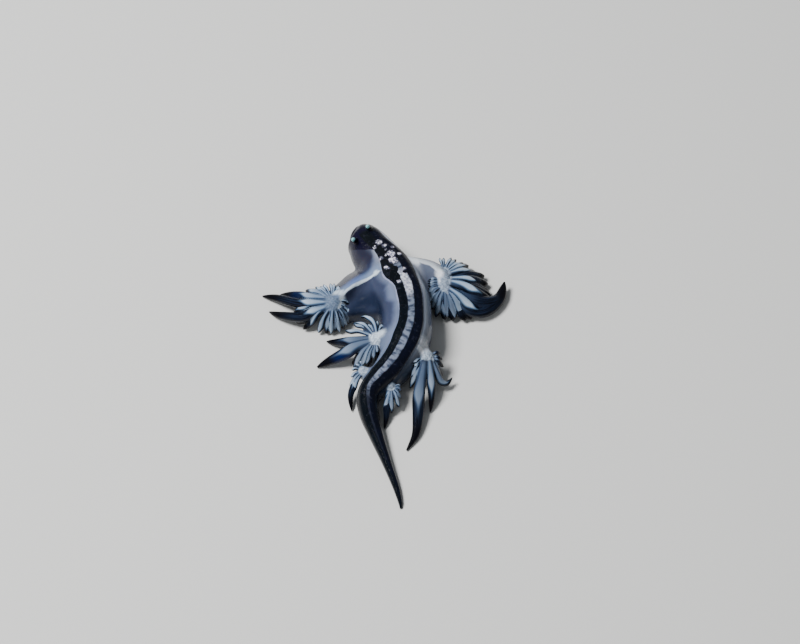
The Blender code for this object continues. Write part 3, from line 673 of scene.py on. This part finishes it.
def lips_surface():
    """A closed ring of lip around the mouth."""
    centre, ahead, side = mouth_axes()
    verts = []
    faces = []
    around, sides = 36, 12
    for k in range(around):
        angle = 2 * math.pi * k / around
        middle = side * math.cos(angle) * MOUTH_HALF_WIDTH
        middle.z = math.sin(angle) * MOUTH_HALF_HEIGHT
        outwards = middle.normalized()
        for j in range(sides):
            turn = 2 * math.pi * j / sides
            off = (outwards * math.cos(turn) + ahead * math.sin(turn)) * LIP_RADIUS
            verts.append(tuple(centre + middle + off))
            a, b = k * sides + j, k * sides + (j + 1) % sides
            after = ((k + 1) % around) * sides
            faces.append((a, b, after + (j + 1) % sides, after + j))
    return verts, faces


def remesh(obj, voxel, smoothing):
    """Replaces overlapping surfaces by one even surface, then evens out its steps."""
    one_surface = obj.modifiers.new("remesh", "REMESH")
    one_surface.mode = "VOXEL"
    one_surface.voxel_size = voxel
    even = obj.modifiers.new("even", "SMOOTH")
    even.factor = 0.5
    even.iterations = smoothing
    graph = bpy.context.evaluated_depsgraph_get()
    data = bpy.data.meshes.new_from_object(obj.evaluated_get(graph))
    obj.modifiers.clear()
    obj.data = data
    return obj


def surface_of(obj):
    """Vertices and faces of an object's mesh, for joining with others."""
    verts = [tuple(vert.co) for vert in obj.data.vertices]
    faces = [tuple(face.vertices) for face in obj.data.polygons]
    return verts, faces


def core_object():
    """The trunk with its arms and pads, with soft transitions between them."""
    surfaces = [body_surface(CORE_END), arm_surface(ARM_LEFT, -1), arm_surface(ARM_RIGHT, 1)]
    for fan in FANS:
        surfaces.append(ellipsoid_surface(fan.centre, fan.radii))
        if fan.stalk:
            points = [Vector(point[:3]) for point in fan.stalk]
            surfaces.append(tube_surface(points, [point[3] for point in fan.stalk]))
    return remesh(join_surfaces("core", surfaces), CORE_VOXEL, CORE_SMOOTHING)


def skin_object(cerata):
    """The whole animal as one surface."""
    core = core_object()
    surfaces = [body_surface(len(BODY) - 1.0), surface_of(core), lips_surface()]
    bpy.data.objects.remove(core)
    for feeler in ORAL_TENTACLES + RHINOPHORES:
        surfaces.append(feeler_surface(feeler))
    for axis in cerata:
        surfaces.append(tube_surface(axis.points, axis.radii, CERAS_SIDES, CERAS_FLATNESS))
    return remesh(join_surfaces("skin", surfaces), SKIN_VOXEL, SKIN_SMOOTHING)


def vertex_vectors(obj, name):
    """One vector of each vertex, its place or its normal, as the rows of an array."""
    flat = np.empty(len(obj.data.vertices) * 3)
    obj.data.vertices.foreach_get(name, flat)
    return flat.reshape(-1, 3)


def tree_of(places):
    """A tree that finds the nearest of some places."""
    tree = kdtree.KDTree(len(places))
    for k, place in enumerate(places):
        tree.insert(place, k)
    tree.balance()
    return tree


def step_between(values, low, high):
    """0 below low, 1 above high and a soft rise between."""
    share = np.clip((values - low) / (high - low), 0.0, 1.0)
    return share * share * (3 - 2 * share)


def body_coordinates(points):
    """For each point its place along the body, its offset to the right and its section's values."""
    places = np.linspace(0.0, len(BODY) - 1.0, BODY_SAMPLES)
    table = np.array([body_section(place) for place in places])
    directions = np.array([tuple(-heading(BODY, place)) for place in places])
    tree = tree_of([(x, y, 0.0) for x, y in table[:, :2]])
    near = np.array([tree.find((x, y, 0.0))[1] for x, y in points[:, :2]])
    away = points[:, :2] - table[near, :2]
    right = np.c_[directions[:, 1], -directions[:, 0]][near]
    return places[near], (away * right).sum(axis=1), Section(*table[near].T)


def ceras_coordinates(points, cerata):
    """For each point its share along the nearest ceras, how near that is, which side of it the point
    is on, its share of the pale stripe's length, and that ceras's lightness and number."""
    samples = []
    lengths = []
    for number, axis in enumerate(cerata):
        frames = axis_frames(axis.points)
        last = len(axis.points) - 1
        lengths.append(sum((a - b).length for a, b in zip(axis.points, axis.points[1:])))
        for k, (point, radius, frame) in enumerate(zip(axis.points, axis.radii, frames)):
            given = (radius, k / last, axis.stripe, axis.light, number)
            samples.append((*point, *given, *frame[0], *frame[1], *frame[2]))
    table = np.array(samples)
    tree = tree_of(table[:, :3])
    radii = table[:, 3]
    chosen = np.empty(len(points), dtype=int)
    for k, point in enumerate(points):
        found = tree.find_n(point, NEAR_SAMPLES)
        chosen[k] = min(found, key=lambda item: item[2] - radii[item[1]])[1]
    row = table[chosen]
    radius, start, stripe, light, number = row[:, 3:8].T
    off = points - row[:, :3]
    along, outwards, sideways = ((off * row[:, k : k + 3]).sum(axis=1) for k in (8, 11, 14))
    span = np.hypot(outwards / CERAS_FLATNESS, sideways)
    share = np.clip(start + along / np.array(lengths)[number.astype(int)], 0.0, 1.0)
    face = np.arctan2(sideways, outwards) / math.pi
    nearness = 1.0 - step_between(span / radius, 1.15, 1.6)
    nearness *= 1.0 - step_between(np.abs(along), CERAS_STEP, 2 * CERAS_STEP)
    return share, nearness, face, share / stripe, light, number


def strength_of_spots(points, spots):
    """For each point the strength of the strongest spot in plan.

    A spot is full up to half its radius and fades to nothing at one and a half times its radius.
    """
    values = np.zeros(len(points))
    for x, y, radius, strength in spots:
        away = np.hypot(points[:, 0] - x, points[:, 1] - y)
        values = np.maximum(values, strength * np.clip(1.5 - away / radius, 0.0, 1.0))
    return values


def side_of_path(points, path):
    """The distance in plan from each point to a path, above 0 to the right of the path."""
    nearest = np.full(len(points), np.inf)
    signed = np.zeros(len(points))
    for a, b in zip(path, path[1:]):
        start = np.array(a)
        run = np.array(b) - start
        off = points[:, :2] - start
        share = np.clip(off @ run / (run @ run), 0.0, 1.0)
        gap = off - share[:, None] * run
        away = np.hypot(gap[:, 0], gap[:, 1])
        right = np.where(off[:, 0] * run[1] - off[:, 1] * run[0] > 0, 1.0, -1.0)
        closer = away < nearest
        signed = np.where(closer, away * right, signed)
        nearest = np.where(closer, away, nearest)
    return signed


def distance_to_path(points, path):
    """The least distance from each point to a path through a few places."""
    fine = []
    for a, b in zip(path, path[1:]):
        fine.extend(mix(np.array(a), np.array(b), share) for share in np.linspace(0, 1, 12))
    return np.min([np.linalg.norm(points - place, axis=1) for place in fine], axis=0)


def mark_skin(obj, cerata):
    """Gives each vertex the marks that the material reads: where it lies on the animal."""
    points = vertex_vectors(obj, "co")
    place, offset, section = body_coordinates(points)
    height = (points[:, 2] - section.bottom) / (section.top - section.bottom)
    share, nearness, face, stripe, light, number = ceras_coordinates(points, cerata)
    on_ceras = nearness * step_between(share, 0.03, 0.10)
    half_width = np.where(offset > 0, section.right, section.left)
    on_body = 1.0 - step_between(np.abs(offset) / half_width, 1.02, 1.2)
    upper = step_between(height, 0.40, 0.65) * on_body * (1 - on_ceras)
    across = offset - section.shift
    ridges = [side_of_path(points, RIDGE_LEFT), side_of_path(points, RIDGE_RIGHT)]
    # The painted highlights lie only on the upper parts.
    upper_part = step_between(points[:, 2], HIGHLIGHTS_LOW, HIGHLIGHTS_HIGH)
    pads = []
    for fan in FANS:
        off = (points - np.array(fan.centre)) / np.array(fan.radii)
        pads.append(np.linalg.norm(off, axis=1))
    pad_lights = np.array([fan.pad_light for fan in FANS])
    tips = [np.linalg.norm(points - np.array(feeler.tip), axis=1) for feeler in ORAL_TENTACLES]
    marks = {
        "place": place,
        "height": height,
        "foot": across / section.foot,
        "line": across / section.line,
        "beside": np.abs(across) - section.foot,
        "cap": points @ np.array(CAP_NORMAL) - CAP_DISTANCE,
        "left": step_between(-offset, 0.2, 1.2),
        "upper": upper,
        "on_body": on_body,
        "ceras": on_ceras,
        "share": share,
        "face": face,
        "stripe": stripe,
        "light": light,
        "number": number,
        "ridge": np.where(points[:, 0] < MIDDLE_X, *ridges),
        # Distances to the middles of the hollows, where shade is painted.
        "hollow": distance_to_path(points, SHADED_HOLLOW_LEFT),
        "hollow_right_shade": distance_to_path(points, SHADED_HOLLOW_RIGHT),
        "spots": strength_of_spots(points, SPOTS),
        "gaps": strength_of_spots(points, GAPS),
        "painted_highlights": strength_of_spots(points, PAINTED_HIGHLIGHTS) * upper_part,
        "blue": strength_of_spots(points, BLUES),
        "pad": np.min(pads, axis=0),
        "pad_light": pad_lights[np.argmin(pads, axis=0)],
        "tentacle": np.min(tips, axis=0),
    }
    for name, values in marks.items():
        attribute = obj.data.attributes.new(name, "FLOAT", "POINT")
        attribute.data.foreach_set("value", np.ascontiguousarray(values, dtype=np.float32))
    raise_foot(obj, points, place, np.abs(across) / section.foot, upper)


def raise_foot(obj, points, place, across, upper):
    """Lifts the sole a little, cuts grooves at its edges and beside its line, and opens the mouth."""
    inside = 1.0 - step_between(across, 0.93, 1.03)
    groove = np.exp(-(((across - 1.08) / 0.06) ** 2))
    beside_line = np.exp(-(((across - 0.45) / 0.12) ** 2))
    fade = step_between(place, 3.0, 4.2) * (1.0 - step_between(place, 13.0, 16.0)) * upper
    lift = fade * (inside * FOOT_RISE - groove * FOOT_GROOVE - beside_line * LINE_GROOVE)
    points = points + vertex_vectors(obj, "normal") * lift[:, None]
    centre, ahead, side = mouth_axes()
    off = points - np.array(centre)
    wide = off @ np.array(side) / (MOUTH_HALF_WIDTH * 0.95)
    high = off[:, 2] / MOUTH_OPENING
    near = np.clip(1.0 - wide**2 - high**2, 0.0, 1.0) * (off @ np.array(ahead) > -0.6)
    points = points - np.array(ahead) * (np.sqrt(near) * MOUTH_DEPTH)[:, None]
    obj.data.vertices.foreach_set("co", points.ravel())
    obj.data.update()


def srgb(red, green, blue):
    """A linear colour from 0 to 255 values as seen on a screen."""
    linear = []
    for value in (red, green, blue):
        value /= 255
        linear.append(value / 12.92 if value <= 0.04045 else ((value + 0.055) / 1.055) ** 2.4)
    return (*linear, 1.0)


class Paint:
    """Short names for building a material from nodes."""

    def __init__(self, name):
        self.material = bpy.data.materials.new(name)
        self.material.use_nodes = True
        self.nodes = self.material.node_tree.nodes
        self.links = self.material.node_tree.links
        self.shader = self.nodes["Principled BSDF"]

    def put(self, socket, value):
        """Feeds a socket from a socket, a mark's name, a colour as seen on a screen or a number."""
        if isinstance(value, str):
            value = self.mark(value)
        if isinstance(value, bpy.types.NodeSocket):
            self.links.new(value, socket)
        elif isinstance(value, tuple):
            socket.default_value = srgb(*value)
        else:
            socket.default_value = value

    def feed(self, node, inputs):
        """Feeds a node's inputs by name."""
        for name, value in inputs.items():
            self.put(node.inputs[name], value)

    def output(self, kind, name, inputs, **settings):
        """The named output of a new node with these inputs and settings."""
        node = self.nodes.new("ShaderNode" + kind)
        for setting, value in settings.items():
            setattr(node, setting, value)
        self.feed(node, inputs)
        return node.outputs[name]

    def mark(self, name):
        return self.output("Attribute", "Fac", {}, attribute_name=name)

    def calc(self, operation, a, b=0.0):
        return self.output("Math", 0, {0: a, 1: b}, operation=operation)

    def rise(self, value, low, high):
        """0 at low and 1 at high, softly; low may be above high."""
        inputs = {
            "Value": value,
            "From Min": min(low, high),
            "From Max": max(low, high),
            "To Min": float(low > high),
            "To Max": float(low < high),
        }
        return self.output("MapRange", "Result", inputs, interpolation_type="SMOOTHSTEP")

    def both(self, *shares):
        """The product of shares, which is high only where all are."""
        total = shares[0]
        for share in shares[1:]:
            total = self.calc("MULTIPLY", total, share)
        return total

    def away(self, value):
        return self.calc("SUBTRACT", 1.0, value)

    def wavy(self, value, noise, much):
        """A value that wanders to both sides with noise."""
        return self.calc("ADD", value, self.calc("MULTIPLY", self.calc("SUBTRACT", noise, 0.5), much))

    def blend(self, share, a, b):
        return self.output("Mix", "Result", {"Factor": share, "A": a, "B": b}, data_type="RGBA")

    def noise_at(self, place, scale, detail):
        return self.output("TexNoise", "Fac", {"Vector": place, "Scale": scale, "Detail": detail})

    def noise(self, size, detail=2.0):
        """Soft noise with features of a size in millimetres."""
        return self.noise_at(self.output("TexCoord", "Object", {}), 1 / (size * MM), detail)

    def streaks(self, across, along, number):
        """Noise drawn out along each ceras, or along the sole."""
        place = {"X": self.both(across, 14.0), "Y": self.both(along, 3.0), "Z": self.both(number, 3.7)}
        return self.noise_at(self.output("CombineXYZ", "Vector", place), 1.0, 2.0)


# A place in the markings is a row of BODY: 0 is the nose and 24 the tip of the tail.
def slate_colour(paint, in_front):
    """Slate flanks, darker in front of the arms; painted shade near the floor and on the rear right
    flank.
    """
    # Painted shade: the right flank grows darker towards the tail.
    shaded_right_flank = paint.blend(paint.rise("place", 9.0, 11.5), (96, 104, 124), (44, 54, 72))
    slate = paint.blend(in_front, (53, 60, 83), (38, 50, 82))
    slate = paint.blend(paint.rise("place", 5.3, 4.3), slate, (37, 38, 54))
    left_side = paint.blend(paint.rise("place", 10.0, 11.2), slate, (92, 104, 128))
    colour = paint.blend("left", shaded_right_flank, left_side)
    # Painted shade: darker towards the floor.
    return paint.blend(paint.rise("height", 0.6, 0.1), colour, (34, 42, 62))


def hollow_shade_colour(paint, colour, soft, behind):
    """Painted shade: dark in the hollow behind the left arm and grey in the one behind the right arm."""
    # Painted shade, darkest in the middle of each hollow.
    hollow = paint.rise(paint.wavy("hollow", soft, 0.5), 1.3, 0.2)
    colour = paint.blend(paint.both(hollow, behind), colour, (24, 32, 52))
    hollow = paint.rise(paint.wavy("hollow_right_shade", soft, 0.5), 1.2, 0.2)
    return paint.blend(paint.both(hollow, 0.5), colour, (74, 82, 102))


def beside_sole_colour(paint, colour, soft, in_front):
    """A pale band on each side of the sole, widest at the neck and the shoulder, with a thin rim."""
    beside = paint.wavy("beside", soft, 0.35)
    neck = paint.rise("place", 6.6, 6.0)
    pale_left = paint.blend(neck, (108, 120, 148), (102, 112, 134))
    pale_right = paint.blend(paint.rise("place", 7.0, 8.2), (172, 178, 194), (124, 132, 146))
    pale = paint.blend("left", pale_right, pale_left)
    wide_left = paint.both(paint.calc("SUBTRACT", "place", 4.6), neck, in_front)
    shoulder = paint.both(paint.rise("place", 6.6, 7.0), paint.rise("place", 8.7, 7.9), 0.35)
    wide_left = paint.calc("ADD", wide_left, shoulder)
    wide_right = paint.both(paint.rise("place", 9.6, 8.4), 0.30)
    wide = paint.calc("ADD", paint.both("left", wide_left), paint.both(paint.away("left"), wide_right))
    near = paint.rise(paint.calc("SUBTRACT", beside, wide), 0.75, 0.0)
    near = paint.both(near, paint.rise("place", 13.0, 10.5))
    colour = paint.blend(paint.both(near, 0.9), colour, pale)
    rim = paint.both(paint.rise(beside, 0.16, 0.04), paint.rise("place", 5.2, 6.0))
    rim = paint.both(rim, paint.rise("place", 9.5, 8.0))
    return paint.blend(paint.both(rim, 0.8), colour, (148, 152, 180))


def slope_colour(paint, colour, ridge, in_front):
    """The pale slope in front of each arm's ridge."""
    left_slope = paint.blend("blue", (112, 130, 160), (84, 104, 160))
    slope = paint.blend("left", (214, 222, 232), left_slope)
    on_slope = paint.both(in_front, paint.rise(ridge, 0.95, 0.2))
    return paint.blend(paint.both(on_slope, 0.9), colour, slope)


def pad_colour(paint, colour, fine):
    """Finely grained pads, each as pale as its fan says."""
    pad = paint.rise(paint.wavy("pad", fine, 0.2), 1.25, 1.02)
    pale = paint.blend("pad_light", (96, 112, 136), (210, 224, 238))
    dark = paint.blend("pad_light", (60, 76, 100), (120, 136, 158))
    grain = paint.both(paint.rise(paint.noise(0.14, 3.0), 0.38, 0.62), 0.65)
    return paint.blend(pad, colour, paint.blend(grain, pale, dark))


def ridge_highlight_colour(paint, colour, ridge, fine):
    """A painted silver highlight along the ridge of each arm, and painted highlights at the pale places.
    """
    # A painted highlight along each arm's ridge, weaker on the right arm.
    line = paint.both(paint.rise(ridge, -0.10, -0.02), paint.rise(ridge, 0.20, 0.04))
    line = paint.both(line, paint.calc("ADD", paint.both("left", 0.55), 0.45))
    # Painted highlights at the pale places on the arms and the rims of the pads.
    painted_highlights = paint.rise(paint.wavy("painted_highlights", fine, 0.6), 0.05, 1.15)
    silver = paint.blend("left", (230, 236, 244), (200, 214, 228))
    return paint.blend(paint.calc("MAXIMUM", line, painted_highlights), colour, silver)


def flank_colour(paint, fine):
    """The flanks with painted shade in their hollows, the arms, the pads and painted highlights."""
    soft = paint.noise(0.9)
    ridge = paint.wavy("ridge", fine, 0.06)
    in_front = paint.rise(ridge, -0.05, 0.05)
    colour = slate_colour(paint, in_front)
    colour = hollow_shade_colour(paint, colour, soft, paint.away(in_front))
    colour = beside_sole_colour(paint, colour, soft, in_front)
    colour = slope_colour(paint, colour, ridge, in_front)
    colour = pad_colour(paint, colour, fine)
    return ridge_highlight_colour(paint, colour, ridge, fine)


def silver_colour(paint):
    """The sole's silver middle line: beads, brightest with painted glints behind the head, dark on the
    tail.
    """
    streaks = paint.streaks(paint.both("line", 0.03), paint.both("place", 1.3), 0.0)
    silver = paint.blend(paint.rise(streaks, 0.36, 0.60), (50, 58, 76), (112, 121, 140))
    # Painted glints of the wet skin on the bright part behind the head.
    painted_glints = paint.rise(paint.noise(0.2), 0.35, 0.65)
    bright = paint.blend(painted_glints, (132, 136, 154), (206, 210, 224))
    behind_head = paint.both(paint.rise("place", 8.6, 7.6), paint.rise("place", 6.0, 6.6))
    silver = paint.blend(behind_head, silver, bright)
    return paint.blend(paint.rise("place", 14.0, 16.4), silver, (30, 33, 45))


def spot_colour(paint, colour, foot):
    """Silver speckles with painted glints of the wet skin, and a dim edge."""
    glints = paint.noise(0.16, 1.0)
    halo = paint.both(paint.rise(paint.wavy("spots", paint.noise(0.3), 0.8), 0.02, 0.60), foot)
    colour = paint.blend(paint.both(halo, 0.8), colour, (70, 72, 90))
    # The bright spots are real silver speckles carrying painted glints of the wet skin.
    bright = paint.rise(paint.wavy("spots", glints, 1.8), 0.35, 0.95)
    bright = paint.both(bright, paint.rise("spots", 0.02, 0.30), foot)
    shine = paint.blend(paint.rise(glints, 0.40, 0.60), (120, 120, 146), (234, 232, 246))
    return paint.blend(bright, colour, shine)


def sole_colour(paint, colour, fine):
    """Two dark stripes with a silver line between them, broken into spots behind the head."""
    across = paint.calc("ABSOLUTE", paint.wavy("foot", fine, 0.06))
    foot = paint.both(paint.rise(across, 1.04, 0.99), "upper", paint.rise("place", 1.6, 2.2))
    left_stripe = paint.blend(paint.rise("place", 7.5, 5.5), (8, 15, 23), (20, 24, 28))
    stripes = paint.blend(paint.rise("foot", -0.2, 0.2), left_stripe, (9, 13, 32))
    stripes = paint.blend(paint.noise(0.9), (3, 5, 10), stripes)
    line = paint.calc("ABSOLUTE", paint.wavy("line", paint.noise(0.45), 0.5))
    line = paint.both(paint.rise(line, 1.15, 0.75), paint.rise("place", 5.5, 5.9))
    line = paint.both(line, paint.rise("place", 23.0, 15.5))
    gaps = paint.rise(paint.wavy("gaps", fine, 0.5), 0.25, 0.5)
    line = paint.both(line, paint.away(gaps))
    colour = paint.blend(foot, colour, paint.blend(line, stripes, silver_colour(paint)))
    return spot_colour(paint, colour, foot)


def head_and_tail_colour(paint, colour):
    """The dark head, with painted purple sheen, and the dark tail."""
    rim = paint.both(paint.rise("foot", 1.0, 1.1), paint.rise("place", 1.2, 1.8))
    cap = paint.rise(paint.wavy("cap", paint.noise(0.5), 0.16), -0.05, 0.05)
    cap = paint.both(cap, paint.away(rim), paint.rise("place", 5.5, 4.5))
    # Near black with purple-navy patches of painted sheen.
    colour = paint.blend(cap, colour, paint.blend(paint.noise(1.2), (4, 4, 12), (21, 19, 44)))
    tail = paint.both(paint.rise("place", 14.0, 16.0), "on_body")
    return paint.blend(tail, colour, (7, 8, 16))


def cerata_colour(paint):
    """A pale stripe down the outer face, broadest near its outer end, with a mid-tone edge and dark sides
    that are partly painted round shading, and a black tip.
    """
    streaks = paint.streaks("face", "share", "number")
    side = paint.blend(paint.rise(streaks, 0.35, 0.65), (6, 9, 19), (20, 29, 47))
    side = paint.blend(paint.rise("share", 0.10, 0.35), (46, 60, 84), side)
    side = paint.blend("blue", side, (9, 24, 66))
    side = paint.blend(paint.rise("share", 0.55, 0.80), side, (5, 5, 11))
    across = paint.calc("ABSOLUTE", paint.wavy("face", streaks, 0.08))
    widening = paint.calc("ADD", paint.both(paint.rise("stripe", 0.1, 0.7), 0.15), 0.10)
    wider = paint.both(paint.away("light"), 0.07)
    half = paint.both(paint.rise("stripe", 1.10, 0.62), paint.calc("ADD", wider, widening))
    edge = paint.calc("SUBTRACT", across, half)
    pale = paint.blend("light", (58, 72, 96), (160, 180, 206))
    bright = paint.blend("light", (88, 104, 128), (204, 222, 242))
    pale = paint.blend(paint.rise("stripe", 0.30, 0.85), pale, bright)
    # A mid tone along the stripe's edges: painted shading of the round ceras.
    middle = paint.blend("light", (40, 52, 74), (84, 112, 142))
    near = paint.both(paint.rise(edge, 0.14, 0.0), paint.rise("stripe", 1.25, 0.95))
    colour = paint.blend(near, side, middle)
    stripe = paint.both(paint.rise(edge, 0.05, -0.09), paint.rise("stripe", 1.12, 0.82))
    return paint.blend(stripe, colour, paint.blend(paint.both(streaks, 0.4), pale, middle))


def skin_colour(paint):
    """The colour all over the animal."""
    fine = paint.noise(0.22, 3.0)
    colour = head_and_tail_colour(paint, flank_colour(paint, fine))
    colour = sole_colour(paint, colour, fine)
    colour = paint.blend(paint.rise("tentacle", 0.34, 0.22), colour, (140, 205, 212))
    return paint.blend("ceras", colour, cerata_colour(paint))


def skin_material():
    """Wet, slightly translucent skin."""
    paint = Paint("skin")
    bumps = {
        "Strength": 0.5,
        "Distance": 0.04 * MM,
        "Height": paint.calc("ADD", paint.noise(0.12, 3.0), paint.noise(0.5)),
    }
    paint.feed(paint.shader, {
        "Base Color": skin_colour(paint),
        "Roughness": paint.calc("ADD", paint.both(paint.noise(0.3), 0.12), 0.17),
        "IOR": 1.35,
        "Specular IOR Level": 0.4,
        "Subsurface Weight": 0.05,
        "Subsurface Scale": 0.2 * MM,
        "Normal": paint.output("Bump", "Normal", bumps),
    })
    return paint.material


def floor():
    """A plain pale floor."""
    bpy.ops.mesh.primitive_plane_add(size=2.0)
    obj = bpy.context.object
    obj.name = "floor"
    paint = Paint("floor")
    paint.feed(paint.shader, {"Base Color": (214, 214, 212), "Roughness": 0.6})
    obj.data.materials.append(paint.material)


def add_facing(data, place, back):
    """A new object at a place in millimetres, which faces against the direction of back."""
    obj = bpy.data.objects.new(data.name, data)
    obj.location = place * MM
    obj.rotation_euler = back.to_track_quat("Z", "Y").to_euler()
    bpy.context.scene.collection.objects.link(obj)
    return obj


def light(name, place, size, energy):
    """A square soft light that faces the middle of the floor, with its size in millimetres."""
    data = bpy.data.lights.new(name, "AREA")
    data.size = size * MM
    data.energy = energy
    return add_facing(data, Vector(place), Vector(place))


def lights():
    """A main light at the left, a small one beside it for the glints and a weak one in front."""
    light("key", (-170, 20, 270), 110, 1.8).visible_glossy = False
    light("glint", (-170, 60, 270), 24, 0.05)
    light("front", (-140, -220, 160), 160, 0.15).visible_glossy = False
    world = bpy.data.worlds.new("studio")
    world.use_nodes = True
    inputs = world.node_tree.nodes["Background"].inputs
    inputs["Color"].default_value = (0.9, 0.95, 1.0, 1.0)
    inputs["Strength"].default_value = 0.2
    bpy.context.scene.world = world


def camera():
    """The photograph's view."""
    data = bpy.data.cameras.new("camera")
    data.lens = CAMERA_LENS
    data.sensor_width = 36.0
    data.clip_start = 0.001
    tilt = math.radians(CAMERA_ELEVATION)
    back = Vector((0.0, -math.cos(tilt), math.sin(tilt)))
    place = Vector(CAMERA_AIM) + back * CAMERA_DISTANCE
    bpy.context.scene.camera = add_facing(data, place, back)


def main():
    """Builds the skin around the solids, with its camera, lights and floor."""
    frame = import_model()
    camera()
    lights()
    floor()
    cerata = all_cerata()
    skin = skin_object(cerata)
    mark_skin(skin, cerata)
    skin.data.transform(Matrix.Scale(MM, 4))
    skin.data.materials.append(skin_material())
    skin.data.polygons.foreach_set("use_smooth", [True] * len(skin.data.polygons))
    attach(skin, "root")
    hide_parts(*frame["nodes"])


main()
